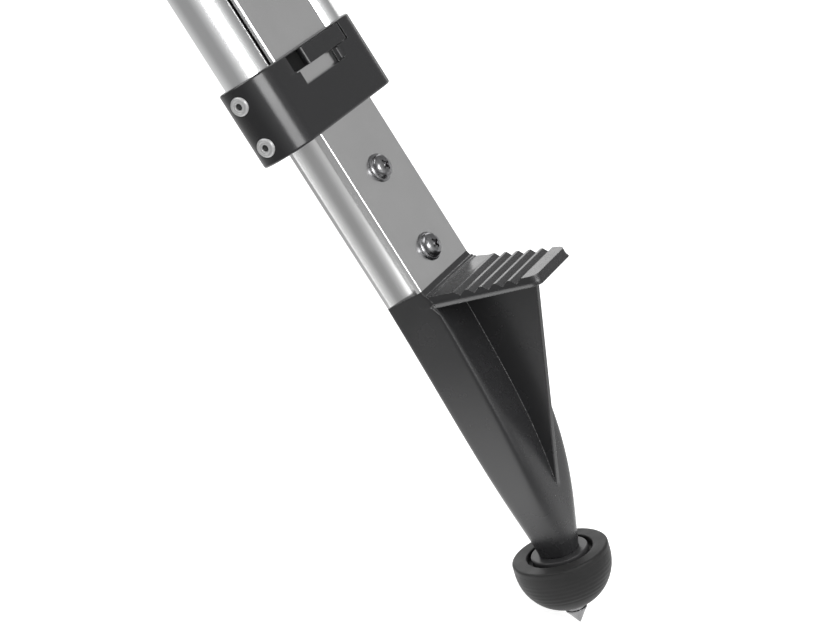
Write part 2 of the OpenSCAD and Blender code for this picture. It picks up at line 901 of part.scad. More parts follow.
module retaining_ring() {
    color([0.6, 0.6, 0.62])
        translate([0, 0, ring_low])
            difference() {
                cylinder(r = boss_r, h = ring_h);
                translate([0, 0, -through])
                    cylinder(r = screw_shank_r + running_fit, h = ring_h + 2 * through);
            }
}

module screw_knob() {
    color([0.12, 0.12, 0.13])
        difference() {
            translate([0, 0, knob_top - knob_h])
                linear_extrude(knob_h)
                    union() {
                        circle(r = knob_r - 0.6 * lobe_r);
                        for (k = [0:knob_lobes - 1])
                            rotate(360 * k / knob_lobes)
                                translate([knob_r - lobe_r, 0])
                                    circle(r = lobe_r);
                    }
            translate([0, 0, knob_top - knob_h / 2 - end_gap])
                cylinder(r = screw_shank_r + running_fit, h = knob_h);
        }
}

head_plate();
hinge_bolts();
hinge_nuts();
arm_bolt();
swing_arm();
slide_bush();
fixing_screw();
retaining_ring();
screw_knob();
in_leg(0) leg_cap();  // leg_cap_a
in_leg(0) rail(-1);  // left_rail_a
in_leg(0) rail(1);  // right_rail_a
in_leg(0) clamp_housing();  // clamp_housing_a
in_leg(0) leg_rivets();  // leg_rivets_a
in_leg(0) lever_pin();  // lever_pin_a
in_leg(0) clamp_lever();  // clamp_lever_a
in_leg(0) brake_pad();  // brake_pad_a
in_leg(0) inner_leg();  // inner_leg_a
in_leg(0) leg_guide();  // leg_guide_a
in_leg(0) foot_shoe();  // foot_shoe_a
in_leg(0) foot_screws();  // foot_screws_a
in_leg(0) spike();  // spike_a
in_leg(0) ball_foot();  // ball_foot_a
in_leg(0) ball_bush();  // ball_bush_a
in_leg(1) leg_cap();  // leg_cap_b
in_leg(1) rail(-1);  // left_rail_b
in_leg(1) rail(1);  // right_rail_b
in_leg(1) clamp_housing();  // clamp_housing_b
in_leg(1) leg_rivets();  // leg_rivets_b
in_leg(1) lever_pin();  // lever_pin_b
in_leg(1) clamp_lever();  // clamp_lever_b
in_leg(1) brake_pad();  // brake_pad_b
in_leg(1) inner_leg();  // inner_leg_b
in_leg(1) leg_guide();  // leg_guide_b
in_leg(1) foot_shoe();  // foot_shoe_b
in_leg(1) foot_screws();  // foot_screws_b
in_leg(1) spike();  // spike_b
in_leg(1) ball_foot();  // ball_foot_b
in_leg(1) ball_bush();  // ball_bush_b
in_leg(2) leg_cap();  // leg_cap_c
in_leg(2) rail(-1);  // left_rail_c
in_leg(2) rail(1);  // right_rail_c
in_leg(2) clamp_housing();  // clamp_housing_c
in_leg(2) leg_rivets();  // leg_rivets_c
in_leg(2) lever_pin();  // lever_pin_c
in_leg(2) clamp_lever();  // clamp_lever_c
in_leg(2) brake_pad();  // brake_pad_c
in_leg(2) inner_leg();  // inner_leg_c
in_leg(2) leg_guide();  // leg_guide_c
in_leg(2) foot_shoe();  // foot_shoe_c
in_leg(2) foot_screws();  // foot_screws_c
in_leg(2) spike();  // spike_c
in_leg(2) ball_foot();  // ball_foot_c
in_leg(2) ball_bush();  // ball_bush_c
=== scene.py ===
"""Looks of a flat-head surveying tripod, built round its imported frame.

A leg is shaped in its own frame in millimetres, with x outwards, y across and z
up the leg from the lower end of the inner tube, and is then set in the tripod's
frame in metres. The foot has a frame of its own, with z up the spike from the
ball's top face.
"""

import logging
import math
from dataclasses import dataclass
from enum import Enum
from typing import Callable, Iterable, Sequence

import bmesh
import bpy
from mathutils import Matrix, Vector


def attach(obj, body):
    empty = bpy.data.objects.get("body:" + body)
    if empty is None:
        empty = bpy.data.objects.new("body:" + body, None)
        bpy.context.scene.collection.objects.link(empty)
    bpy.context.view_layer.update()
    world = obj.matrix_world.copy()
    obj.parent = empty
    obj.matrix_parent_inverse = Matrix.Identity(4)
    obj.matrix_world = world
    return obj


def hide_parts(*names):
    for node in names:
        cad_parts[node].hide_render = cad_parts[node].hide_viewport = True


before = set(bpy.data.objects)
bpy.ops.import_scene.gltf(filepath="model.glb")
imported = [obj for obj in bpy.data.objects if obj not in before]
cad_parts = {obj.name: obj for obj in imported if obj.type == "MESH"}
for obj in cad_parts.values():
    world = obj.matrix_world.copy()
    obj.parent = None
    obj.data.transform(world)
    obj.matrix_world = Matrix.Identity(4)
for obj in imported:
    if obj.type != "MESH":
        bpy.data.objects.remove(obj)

LOG = logging.getLogger("tripod")
MILLIMETRE = 0.001
LOCAL = "leg_place"
NUMBER, VECTOR = "NodeSocketFloat", "NodeSocketVector"
# How far a cutter runs past what it cuts, and the room round a bar in its bore.
PAST = 1.0
FIT = 0.05
Point2 = tuple[float, float]
Point3 = tuple[float, float, float]
Outline = Sequence[Point2]
Wire = bpy.types.NodeSocket | float | Sequence[float]


def turn(degrees: float, axis: str) -> Matrix:
    """Returns a turn about an axis."""
    return Matrix.Rotation(math.radians(degrees), 4, axis)


def shift(x: float, y: float, z: float) -> Matrix:
    """Returns a shift."""
    return Matrix.Translation((x, y, z))


def grey(level: float) -> Point3:
    """Returns a grey."""
    return (level, level, level)


def placed(outline: Outline, first: float, second: float) -> list[Point2]:
    """Returns an outline shifted in its own plane."""
    return [(first + a, second + b) for a, b in outline]


def arc(centre: Point2, radius: float, start: float, end: float, steps: int = 8) -> list[Point2]:
    """Lists points along an arc.

    Args:
        centre: The arc's centre.
        radius: Its radius.
        start: Its first angle, in degrees.
        end: Its last angle, in degrees.
        steps: Number of chords.

    Returns:
        The points, both ends among them.
    """
    turns = [math.radians(start + (end - start) * i / steps) for i in range(steps + 1)]
    return [(centre[0] + radius * math.cos(t), centre[1] + radius * math.sin(t)) for t in turns]


def rim(low: float, high: float, near: float = 0.001) -> Callable[[bmesh.types.BMEdge], bool]:
    """Picks the edges that lie in either of two level planes.

    Args:
        low: The lower plane's z.
        high: The upper plane's z.
        near: How far from a plane an end may be.

    Returns:
        The test of an edge.
    """

    def lies_there(edge: bmesh.types.BMEdge) -> bool:
        """Tells whether both ends of the edge are in one of the planes."""
        a, b = (point.co.z for point in edge.verts)
        return abs(a - b) < near and min(abs(a - low), abs(a - high)) < near

    return lies_there


def upright(edge: bmesh.types.BMEdge) -> bool:
    """Tells whether an edge runs along z."""
    way = edge.verts[1].co - edge.verts[0].co
    return abs(way.z) > 0.9 * way.length


class Solid(Enum):
    """How one closed form acts on another."""

    ADD = "UNION"
    REMOVE = "DIFFERENCE"
    KEEP = "INTERSECT"


class Lie(Enum):
    """The axes of a flat outline's two coordinates, and then the one it is drawn out along."""

    ALONG_Z = "xyz"
    ALONG_Y = "xzy"
    ALONG_X = "yzx"

    def spot(self, first: float, second: float, through: float) -> Point3:
        """Returns the place of a point of the outline, at a height through the bar."""
        axes = dict(zip(self.value, (first, second, through)))
        return axes["x"], axes["y"], axes["z"]


class Coordinates(Enum):
    """What a finish's pattern is laid out by."""

    LEG = "leg"
    OBJECT = "object"


class Form:
    """A closed form being shaped in millimetres with bmesh operators."""

    def __init__(self, source: bmesh.types.BMesh | None = None) -> None:
        """Starts empty, or as a copy of a mesh."""
        self.bm = bmesh.new() if source is None else source.copy()

    @classmethod
    def block(cls, low: Point3, high: Point3) -> "Form":
        """Makes a box.

        Args:
            low: Its lowest corner.
            high: Its highest corner.

        Returns:
            The box.
        """
        form = cls()
        size, middle = Vector(high) - Vector(low), (Vector(high) + Vector(low)) / 2
        place = Matrix.Translation(middle) @ Matrix.Diagonal((*size, 1.0))
        bmesh.ops.create_cube(form.bm, size=1.0, matrix=place)
        return form

    @classmethod
    def rod(cls, radius: float, low: float, high: float, steps: int = 96) -> "Form":
        """Makes a round bar along z.

        Args:
            radius: Its radius.
            low: Its lower end.
            high: Its upper end.
            steps: Number of sides.

        Returns:
            The bar.
        """
        form = cls()
        bmesh.ops.create_cone(
            form.bm, cap_ends=True, segments=steps, radius1=radius, radius2=radius,
            depth=high - low, matrix=shift(0, 0, (low + high) / 2),
        )  # fmt: skip
        return form

    @classmethod
    def turned(cls, profile: Outline, ring: bool = False, steps: int = 96) -> "Form":
        """Turns a profile about z.

        Args:
            profile: Its points as (radius, z).
            ring: Whether the profile closes on itself, as a ring's or tube's does.
            steps: Number of sides.

        Returns:
            The turned form.
        """
        form = cls()
        form._spun(profile, ring, steps, angle=math.tau, use_merge=True)
        return form.healed()

    @classmethod
    def drawn(cls, outline: Outline, low: float, high: float, lie: Lie = Lie.ALONG_Z) -> "Form":
        """Draws a flat outline out into a bar.

        Args:
            outline: The outline's points.
            low: Where the bar starts.
            high: Where the bar ends.
            lie: The plane of the outline.

        Returns:
            The bar.
        """
        form = cls()
        face = form.bm.faces.new([form.bm.verts.new(lie.spot(a, b, low)) for a, b in outline])
        grown = bmesh.ops.extrude_face_region(form.bm, geom=[face], use_keep_orig=True)
        moved = [item for item in grown["geom"] if isinstance(item, bmesh.types.BMVert)]
        bmesh.ops.translate(form.bm, verts=moved, vec=lie.spot(0, 0, high - low))
        return form.healed()

    @classmethod
    def lofted(cls, rings: Sequence[Sequence[Point3]]) -> "Form":
        """Skins a row of rings and closes both ends.

        Args:
            rings: The rings, each of the same number of points.

        Returns:
            The skinned form.
        """
        form = cls()
        rows = []
        for ring in rings:
            made = bmesh.ops.create_circle(form.bm, segments=len(ring), radius=1.0)["verts"]
            for point, spot in zip(made, ring):
                point.co = spot
            own = set(made)
            rows.append([edge for edge in form.bm.edges if own.issuperset(edge.verts)])
        for row, following in zip(rows, rows[1:]):
            bmesh.ops.bridge_loops(form.bm, edges=row + following)
        for row in (rows[0], rows[-1]):
            bmesh.ops.contextual_create(form.bm, geom=row)
        return form.healed()

    @classmethod
    def threaded(
        cls, crest: float, root: float, low: float, high: float, pitch: float, steps: int = 48
    ) -> "Form":
        """Cuts a screw thread: a helical skin over a round core.

        Args:
            crest: The thread's outer radius.
            root: The thread's inner radius.
            low: The thread's lower end.
            high: The thread's upper end.
            pitch: Its rise in one turn.
            steps: Number of sides.

        Returns:
            The threaded bar.
        """
        form, lap = cls(), 0.02
        turns = max(1, round((high - low) / pitch))
        flank = [(root, 0.0), (crest, 0.42 * pitch), (crest, 0.58 * pitch), (root, pitch)]
        helix = {"dvec": (0, 0, pitch / steps), "angle": math.tau * (turns - 1)}
        form._spun(placed(flank, 0, low), False, steps * (turns - 1), **helix)
        return form.healed().joined(cls.rod(root + lap, low, low + pitch * turns, steps))

    def healed(self) -> "Form":
        """Merges double points and turns the faces outwards.

        Returns:
            The form itself.
        """
        bmesh.ops.remove_doubles(self.bm, verts=self.bm.verts, dist=0.0005)
        bmesh.ops.recalc_face_normals(self.bm, faces=self.bm.faces)
        return self

    def moved(self, matrix: Matrix) -> "Form":
        """Moves the form and returns it."""
        bmesh.ops.transform(self.bm, matrix=matrix, verts=self.bm.verts)
        return self

    def at(self, x: float, y: float, z: float) -> "Form":
        """Shifts the form and returns it."""
        return self.moved(shift(x, y, z))

    def pair(self) -> tuple["Form", "Form"]:
        """Gives the form and its mirror image across the leg's middle plane.

        Returns:
            The form itself and a new one.
        """
        twin = Form(self.bm)
        bmesh.ops.scale(twin.bm, vec=(1, -1, 1), verts=twin.bm.verts)
        bmesh.ops.reverse_faces(twin.bm, faces=twin.bm.faces)
        return self, twin

    def joined(self, *others: "Form") -> "Form":
        """Takes other forms in as they are.

        Args:
            *others: The forms to take in.

        Returns:
            The form itself.
        """
        for other in others:
            mesh = other.mesh("joint")
            self.bm.from_mesh(mesh)
            bpy.data.meshes.remove(mesh)
        return self

    def rounded(
        self, width: float, wanted: Callable[[bmesh.types.BMEdge], bool], segments: int = 3
    ) -> "Form":
        """Rounds chosen edges.

        Args:
            width: How far the rounding reaches on each side.
            wanted: Tells which edges to round.
            segments: Number of flats across the rounding.

        Returns:
            The form itself.
        """
        edges = [edge for edge in self.bm.edges if wanted(edge)]
        bmesh.ops.bevel(
            self.bm, geom=edges, offset=width, offset_type="OFFSET", segments=segments,
            profile=0.5, affect="EDGES", clamp_overlap=True, material=-1,
        )  # fmt: skip
        return self

    def softened(self, width: float, angle: float = 30.0, segments: int = 2) -> "Form":
        """Rounds every edge that turns by more than an angle.

        Args:
            width: How far the rounding reaches on each side.
            angle: The angle, in degrees.
            segments: Number of flats across the rounding.

        Returns:
            The form itself.
        """
        bevel = {"width": width, "segments": segments, "limit_method": "ANGLE"}
        bevel |= {"angle_limit": math.radians(angle), "miter_outer": "MITER_ARC"}
        return self._modified("BEVEL", [bevel | {"use_clamp_overlap": True}])

    def worked(self, how: Solid, *others: "Form") -> "Form":
        """Adds, removes or keeps the space of other closed forms.

        Args:
            how: What is done with the other forms.
            *others: The forms to work with.

        Returns:
            The form itself.
        """
        tools = [other._stand_in() for other in others]
        steps = [{"operation": how.value, "solver": "EXACT", "object": tool} for tool in tools]
        self._modified("BOOLEAN", steps)
        for mesh in [tool.data for tool in tools]:
            bpy.data.meshes.remove(mesh)
        return self

    def mesh(self, name: str) -> bpy.types.Mesh:
        """Writes the form out as a mesh.

        Args:
            name: The mesh's name.

        Returns:
            The mesh.
        """
        mesh = bpy.data.meshes.new(name)
        self.bm.to_mesh(mesh)
        return mesh

    def _spun(self, profile: Outline, ring: bool, steps: int, **how: object) -> None:
        """Draws a profile as a line of edges and spins it about z.

        Args:
            profile: Its points as (radius, z).
            ring: Whether the profile closes on itself.
            steps: Number of sides.
            **how: The spin's other settings.
        """
        points = [self.bm.verts.new((r, 0, z)) for r, z in profile]
        following = points[1:] + points[:1] if ring else points[1:]
        lines = [self.bm.edges.new(pair) for pair in zip(points, following)]
        axis = {"cent": (0, 0, 0), "axis": (0, 0, 1)}
        bmesh.ops.spin(self.bm, geom=points + lines, steps=steps, **axis, **how)

    def _stand_in(self) -> bpy.types.Object:
        """Sets the form in the scene for the moment.

        Returns:
            The passing object.
        """
        thing = bpy.data.objects.new("passing", self.mesh("passing"))
        bpy.context.scene.collection.objects.link(thing)
        return thing

    def _modified(self, kind: str, settings: Iterable[dict[str, object]]) -> "Form":
        """Runs modifiers on the form.

        Args:
            kind: The modifiers' type.
            settings: One set of values for each modifier.

        Returns:
            The form itself.
        """
        thing = self._stand_in()
        for values in settings:
            modifier = thing.modifiers.new("shaping", kind)
            for key, value in values.items():
                setattr(modifier, key, value)
        graph = bpy.context.evaluated_depsgraph_get()
        shaped = bpy.data.meshes.new_from_object(thing.evaluated_get(graph))
        self.bm.free()
        self.bm = bmesh.new()
        self.bm.from_mesh(shaped)
        for mesh in (thing.data, shaped):
            bpy.data.meshes.remove(mesh)
        return self


class Wiring:
    """A shader tree wired up by short calls."""

    def __init__(self, tree: bpy.types.NodeTree) -> None:
        """Keeps the tree that is wired up."""
        self.nodes, self.links = tree.nodes, tree.links

    def feed(self, node: bpy.types.Node, wires: dict[str | int, Wire]) -> None:
        """Links a node's inputs to other sockets, or gives them plain values.

        Args:
            node: The node.
            wires: What each input takes.
        """
        for key, value in wires.items():
            if isinstance(value, bpy.types.NodeSocket):
                self.links.new(value, node.inputs[key])
            else:
                node.inputs[key].default_value = value

    def node(
        self, kind: str, wires: dict[str | int, Wire] | None = None, **settings: object
    ) -> bpy.types.bpy_prop_collection:
        """Adds a node.

        Args:
            kind: Its type's name after the common prefix.
            wires: What each input takes.
            **settings: Its own settings.

        Returns:
            Its outputs.
        """
        node = self.nodes.new(f"ShaderNode{kind}")
        for key, value in settings.items():
            setattr(node, key, value)
        self.feed(node, wires or {})
        return node.outputs

    def maths(self, operation: str, *values: Wire, clamp: bool = False) -> bpy.types.NodeSocket:
        """Returns the result of a sum of the named kind."""
        wires = dict(enumerate(values))
        return self.node("Math", wires, operation=operation, use_clamp=clamp)["Value"]

    def vector(self, operation: str, place: Wire, other: Wire) -> bpy.types.NodeSocket:
        """Returns a number made of two vectors: their dot product or their distance."""
        return self.node("VectorMath", {0: place, 1: other}, operation=operation)["Value"]

    def fade(
        self, value: Wire, span: Point2, levels: Point2, kind: str = "SMOOTHSTEP"
    ) -> bpy.types.NodeSocket:
        """Passes from one level to another while a value crosses a span.

        Args:
            value: The value.
            span: Where the passing starts and ends.
            levels: The first and the last level.
            kind: How it passes between them.

        Returns:
            The level.
        """
        ends = dict(zip(("From Min", "From Max", "To Min", "To Max"), (*span, *levels)))
        return self.node("MapRange", {"Value": value} | ends, interpolation_type=kind)["Result"]

    def chosen(self, factor: Wire, first: Wire, second: Wire, kind: str = "FLOAT") -> bpy.types.NodeSocket:
        """Returns the first value, or the second where the factor is 1."""
        return self.node("Mix", {"Factor": factor, "A": first, "B": second}, data_type=kind)["Result"]


class PatternGroups:
    """The shader groups that several finishes share, each built once."""

    noises = {"Fine": {"Detail": 3.0, "Roughness": 0.6}, "Broad": {"Detail": 4.0, "Roughness": 0.55}}
    bevel_samples = 6
    ridge_span = (0.995, 0.9)
    break_detail = 3.0
    break_span = (0.45, 0.75)

    def __init__(self) -> None:
        """Builds the groups."""
        self.grain = self._grain()
        self.edges = self._edges()

    @staticmethod
    def _begin(name: str, numbers: dict[str, float], outputs: dict[str, str]) -> tuple:
        """Starts a group that takes a place and some numbers.

        Args:
            name: The group's name.
            numbers: Each number's default value.
            outputs: Each output's socket type.

        Returns:
            The group, its wiring, what it is given and its last node.
        """
        tree = bpy.data.node_groups.new(name, "ShaderNodeTree")
        tree.interface.new_socket("Place", in_out="INPUT", socket_type=VECTOR)
        for label, value in numbers.items():
            socket = tree.interface.new_socket(label, in_out="INPUT", socket_type=NUMBER)
            socket.default_value = value
        for label, kind in outputs.items():
            tree.interface.new_socket(label, in_out="OUTPUT", socket_type=kind)
        given = tree.nodes.new("NodeGroupInput").outputs
        return tree, Wiring(tree), given, tree.nodes.new("NodeGroupOutput")

    def _grain(self) -> bpy.types.NodeTree:
        """Builds fine grain, drawn out along the piece, over broad cloudy patches.

        Returns:
            The group, with outputs Fine and Broad from 0 to 1.
        """
        numbers = {"Fine Scale": 2500.0, "Broad Scale": 60.0, "Draw": 1.0}
        outputs = {"Fine": NUMBER, "Broad": NUMBER}
        tree, wiring, given, result = self._begin("surface_grain", numbers, outputs)
        stretch = wiring.node("CombineXYZ", {"X": 1.0, "Y": 1.0, "Z": given["Draw"]})["Vector"]
        drawn = wiring.node("VectorMath", {0: given["Place"], 1: stretch}, operation="MULTIPLY")
        places = {"Fine": drawn["Vector"], "Broad": given["Place"]}
        for label, settings in self.noises.items():
            laid = {"Vector": places[label], "Scale": given[f"{label} Scale"]}
            wiring.feed(result, {label: wiring.node("TexNoise", laid | settings)["Fac"]})
        return tree

    def _edges(self) -> bpy.types.NodeTree:
        """Builds softened edges and a broken pale line along them, partly rubbed edges and partly painted
        highlight.

        Returns:
            The group, with outputs Rubbed And Lit from 0 to 1, for the pale edge line, and Normal.
        """
        numbers = {"Radius": 0.0004, "Spread": 0.5, "Breaks": 900.0}
        outputs = {"Rubbed And Lit": NUMBER, "Normal": VECTOR}
        tree, wiring, given, result = self._begin("edge_rub_and_highlight", numbers, outputs)
        # The pale line laid along convex edges is partly rubbed edges and partly painted highlight on the
        # edges' roundings.
        soft = wiring.node("Bevel", {"Radius": given["Radius"]}, samples=self.bevel_samples)["Normal"]
        turned = wiring.vector("DOT_PRODUCT", soft, wiring.node("NewGeometry")["Normal"])
        ridge = wiring.fade(turned, self.ridge_span, (0.0, 1.0), "LINEAR")
        laid = {"Vector": given["Place"], "Scale": given["Breaks"], "Detail": self.break_detail}
        noise = wiring.node("TexNoise", laid)["Fac"]
        both = wiring.maths("MULTIPLY", ridge, wiring.fade(noise, self.break_span, (0.0, 1.0), "LINEAR"))
        worn = wiring.maths("MULTIPLY", both, given["Spread"], clamp=True)
        wiring.feed(result, {"Rubbed And Lit": worn, "Normal": soft})
        return tree


@dataclass(frozen=True)
class Finish:
    """A surface finish: its colours, gloss, grain, and a pale edge line that is partly rubbing and partly
    painted highlight. Lengths are in metres.
    """

    name: str
    slot: str
    colour: Point3
    worn: Point3
    metallic: float = 0.0
    rough: Point2 = (0.3, 0.4)
    rough_span: Point2 = (0.3, 0.7)
    grain_scale: float = 2500.0
    grain_draw: float = 1.0
    grain_depth: float = 0.00003
    patch_scale: float = 60.0
    patch_shift: float = 0.06
    edge_radius: float = 0.0004
    edge_rub_and_highlight: float = 0.5
    edge_breaks: float = 900.0
    specular: float = 0.5
    sheen: float = 0.0
    sheen_rough: float = 0.4

    def material(self, groups: PatternGroups, laid_by: Coordinates) -> bpy.types.Material:
        """Builds the finish's material.

        Args:
            groups: The shared shader groups.
            laid_by: What the pattern is laid out by.

        Returns:
            The material.
        """
        label = f"{self.name}_{laid_by.value}"
        made = bpy.data.materials.get(label)
        if made:
            return made
        material = bpy.data.materials.new(label)
        material.use_nodes = True
        wiring = Wiring(material.node_tree)
        if laid_by is Coordinates.LEG:
            spot = wiring.node("Attribute", attribute_name=LOCAL)["Vector"]
        else:
            spot = wiring.node("TexCoord")["Object"]
        scales = {"Fine Scale": self.grain_scale, "Broad Scale": self.patch_scale}
        scales |= {"Place": spot, "Draw": self.grain_draw}
        grain = wiring.node("Group", scales, node_tree=groups.grain)
        # Settings of the pale edge line, partly rubbed edges and partly painted highlight.
        edge_rub_and_light = {"Radius": self.edge_radius, "Spread": self.edge_rub_and_highlight, "Breaks": self.edge_breaks}
        edges = wiring.node("Group", edge_rub_and_light | {"Place": spot}, node_tree=groups.edges)
        shades = (1 - self.patch_shift, 1 + self.patch_shift)
        dim, pale = ((*[min(1, c * shade) for c in self.colour], 1) for shade in shades)
        patches = wiring.chosen(grain["Broad"], dim, pale, "RGBA")
        height = {"Strength": 1.0, "Distance": self.grain_depth, "Height": grain["Fine"]}
        surface = {
            "Metallic": self.metallic,
            "Specular IOR Level": self.specular,
            "Sheen Weight": self.sheen,
            "Sheen Roughness": self.sheen_rough,
            "Base Color": wiring.chosen(edges["Rubbed And Lit"], patches, (*self.worn, 1), "RGBA"),
            "Roughness": wiring.fade(grain["Broad"], self.rough_span, self.rough, "LINEAR"),
            "Normal": wiring.node("Bump", height | {"Normal": edges["Normal"]})["Normal"],
        }
        wiring.feed(wiring.nodes["Principled BSDF"], surface)
        return material


BLACK = (0.016, 0.016, 0.017)
HOUSING_PLASTIC = Finish("housing_plastic", "black_plastic", BLACK, grey(0.1), rough=(0.14, 0.2))
# The lever's strong pale edge line is partly rubbed edges and partly painted highlight round its outline.
LEVER_PLASTIC = Finish(
    "lever_plastic", "black_plastic", BLACK, grey(0.16), rough=(0.2, 0.28), edge_rub_and_highlight=0.8
)
# The shoe's strong pale edge line is mostly painted highlight along the tread's crests, the pan's frame and
# the corners.
SHOE_PLASTIC = Finish(
    "shoe_plastic", "shoe_plastic", (0.024, 0.024, 0.025), grey(0.5), rough=(0.22, 0.3),
    grain_scale=1800.0, grain_depth=0.00005, patch_shift=0.12, edge_radius=0.0005,
    edge_rub_and_highlight=0.75, edge_breaks=1500.0,
)  # fmt: skip
GREY_CAP = Finish(
    "grey_cap", "grey_plastic", (0.04, 0.04, 0.041), grey(0.4), rough=(0.28, 0.38), specular=0.2
)
# A rough grey sheet laid on the tube's bare metal flats as painted shade.
FLANK_SHADE_GREY = Finish("painted_shade_grey", "grey_plastic", grey(0.42), grey(0.5), rough=(0.45, 0.6))
RAIL_METAL = Finish(
    "drawn_rail", "bright_rail", (0.84, 0.845, 0.85), grey(0.9), metallic=1.0, rough=(0.17, 0.22),
    grain_scale=4000.0, grain_draw=0.01, grain_depth=0.0000012, patch_shift=0.02,
)  # fmt: skip
TUBE_METAL = Finish(
    "satin_tube", "satin_tube", grey(0.79), grey(0.9), metallic=1.0, rough=(0.19, 0.24),
    grain_scale=5000.0, grain_draw=0.02, grain_depth=0.000003, patch_shift=0.03,
    edge_radius=0.0001,
)  # fmt: skip
RIVET_METAL = Finish(
    "rivet_metal", "rivet", grey(0.52), grey(0.9), metallic=0.3, rough=(0.3, 0.42),
    edge_radius=0.0002,
)  # fmt: skip
MANDREL_STEEL = Finish(
    "mandrel_steel", "rivet", grey(0.05), grey(0.2), metallic=0.6, edge_radius=0.0001
)
SCREW_CHROME = Finish(
    "screw_chrome", "chrome_screw", (0.24, 0.24, 0.245), grey(0.6), metallic=1.0,
    rough=(0.1, 0.26), grain_scale=900.0, grain_depth=0.00004, patch_scale=700.0,
    patch_shift=0.5, edge_radius=0.0002,
)  # fmt: skip
SPIKE_STEEL = Finish(
    "spike_steel", "plated_steel", (0.3, 0.3, 0.305), grey(0.5), metallic=1.0, rough=(0.16, 0.3),
    grain_scale=1200.0, grain_depth=0.00004, patch_scale=500.0, patch_shift=0.3,
    edge_radius=0.0002,
)  # fmt: skip
BALL_RUBBER = Finish(
    "ball_rubber", "rubber", grey(0.015), grey(0.06), rough=(0.45, 0.6), grain_scale=1500.0,
    grain_depth=0.00006, patch_shift=0.15, edge_radius=0.0006, edge_rub_and_highlight=0.4, specular=0.25,
    sheen=0.08,
)  # fmt: skip
HEAD_PAINT = Finish(
    "head_paint", "cast_head", (0.05, 0.051, 0.054), grey(0.4), rough=(0.35, 0.5),
    grain_scale=900.0, grain_depth=0.0001, edge_rub_and_highlight=0.35,
)  # fmt: skip
ZINC = Finish(
    "zinc_plating", "plated_steel", grey(0.7), grey(0.8), metallic=1.0, rough=(0.22, 0.36),
    patch_scale=200.0,
)  # fmt: skip
ARM_STEEL = Finish(
    "arm_steel", "arm_plate", (0.66, 0.66, 0.67), grey(0.8), metallic=1.0, rough=(0.28, 0.42),
    grain_scale=3000.0, grain_depth=0.00001, patch_scale=120.0,
)  # fmt: skip
SCREW_BRASS = Finish(
    "screw_brass", "brass", (0.72, 0.5, 0.2), (0.85, 0.68, 0.38), metallic=1.0,
    rough=(0.2, 0.34), patch_scale=200.0, edge_radius=0.0003,
)  # fmt: skip
BUSH_METAL = Finish(
    "bush_metal", "bush_steel", (0.6, 0.59, 0.57), grey(0.8), metallic=1.0, rough=(0.25, 0.4)
)
# Near-black and nearly matt: the brake pad's black rubber darkened further as painted shade in the clamp's
# pocket, and the painted shade of the gaps between rails and tube.
PAD_BLACK_AND_SHADE = Finish(
    "pad_black_and_painted_shade", "rubber_pad", grey(0.006), grey(0.012), rough=(0.7, 0.9), specular=0.15
)


@dataclass(frozen=True)
class Piece:
    """A finished form that rides on a body, or a node of the frame that keeps its own shape."""

    name: str
    finish: Finish
    form: Form | None = None
    body: str = ""
    node: str = ""
    crease: float = 32.0


class Workbench:
    """Turns forms into finished pieces that ride on the frame's bodies."""

    def __init__(self) -> None:
        """Builds the shared shader groups."""
        self.groups = PatternGroups()

    def set_out(self, pieces: Iterable[Piece], place: Matrix, suffix: str = "") -> None:
        """Sets pieces out in the scene.

        Args:
            pieces: The pieces, with their forms in millimetres.
            place: Where the forms' frame lies in the tripod's frame, in metres.
            suffix: What the names of their bodies, their nodes and themselves end in.
        """
        for piece in pieces:
            if piece.form is None:
                self._dressed(piece.name + suffix, piece.finish)
            else:
                self._built(piece, place, suffix)

    def _built(self, piece: Piece, place: Matrix, suffix: str) -> None:
        """Builds a piece of the object.

        Args:
            piece: The piece.
            place: Where its frame lies in the tripod's frame, in metres.
            suffix: What the names of its body, its node and itself end in.
        """
        name, body, finish = piece.name + suffix, piece.body + suffix, piece.finish
        mesh = piece.form.mesh(name)
        spots = [value * MILLIMETRE for point in mesh.vertices for value in point.co]
        mesh.attributes.new(LOCAL, "FLOAT_VECTOR", "POINT").data.foreach_set("vector", spots)
        mesh.transform(place @ Matrix.Scale(MILLIMETRE, 4))
        mesh.shade_smooth()
        mesh.set_sharp_from_angle(angle=math.radians(piece.crease))
        mesh.materials.clear()
        mesh.materials.append(finish.material(self.groups, Coordinates.LEG))
        thing = bpy.data.objects.new(name, mesh)
        bpy.context.scene.collection.objects.link(thing)
        thing.modifiers.new("flat_faces", "WEIGHTED_NORMAL").keep_sharp = True
        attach(thing, body)
        if piece.node:
            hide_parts(piece.node + suffix)
        LOG.info("%s rides on %s with %d faces", name, body, len(mesh.polygons))

    def _dressed(self, node: str, finish: Finish) -> None:
        """Gives a node that stays in view its finish.

        Args:
            node: The node's name.
            finish: Its finish.
        """
        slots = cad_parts[node].data.materials
        slots.clear()
        slots.append(finish.material(self.groups, Coordinates.OBJECT))
        LOG.info("%s keeps its shape and takes %s", node, finish.name)


@dataclass(frozen=True)
class LegStance:
    """Where a leg stands: its compass angle and the hinge that it hangs on."""

    azimuth: float
    splay: float = 36.0
    hinge_r: float = 62.0
    hinge_drop: float = 24.0
    reach: float = 900.0

    def matrix(self) -> Matrix:
        """Places the leg's frame in the tripod's frame.

        Returns:
            The place, in metres.
        """
        hinge = shift(self.hinge_r * MILLIMETRE, 0, -self.hinge_drop * MILLIMETRE)
        leg = turn(self.azimuth, "Z") @ hinge @ turn(-self.splay, "Y")
        return leg @ shift(0, 0, -self.reach * MILLIMETRE)


class LegPart:
    """A sub-assembly of a leg."""

    def place(self, stance: LegStance) -> Matrix:
        """Returns where the part's frame lies in the tripod's frame, in metres."""
        return stance.matrix()


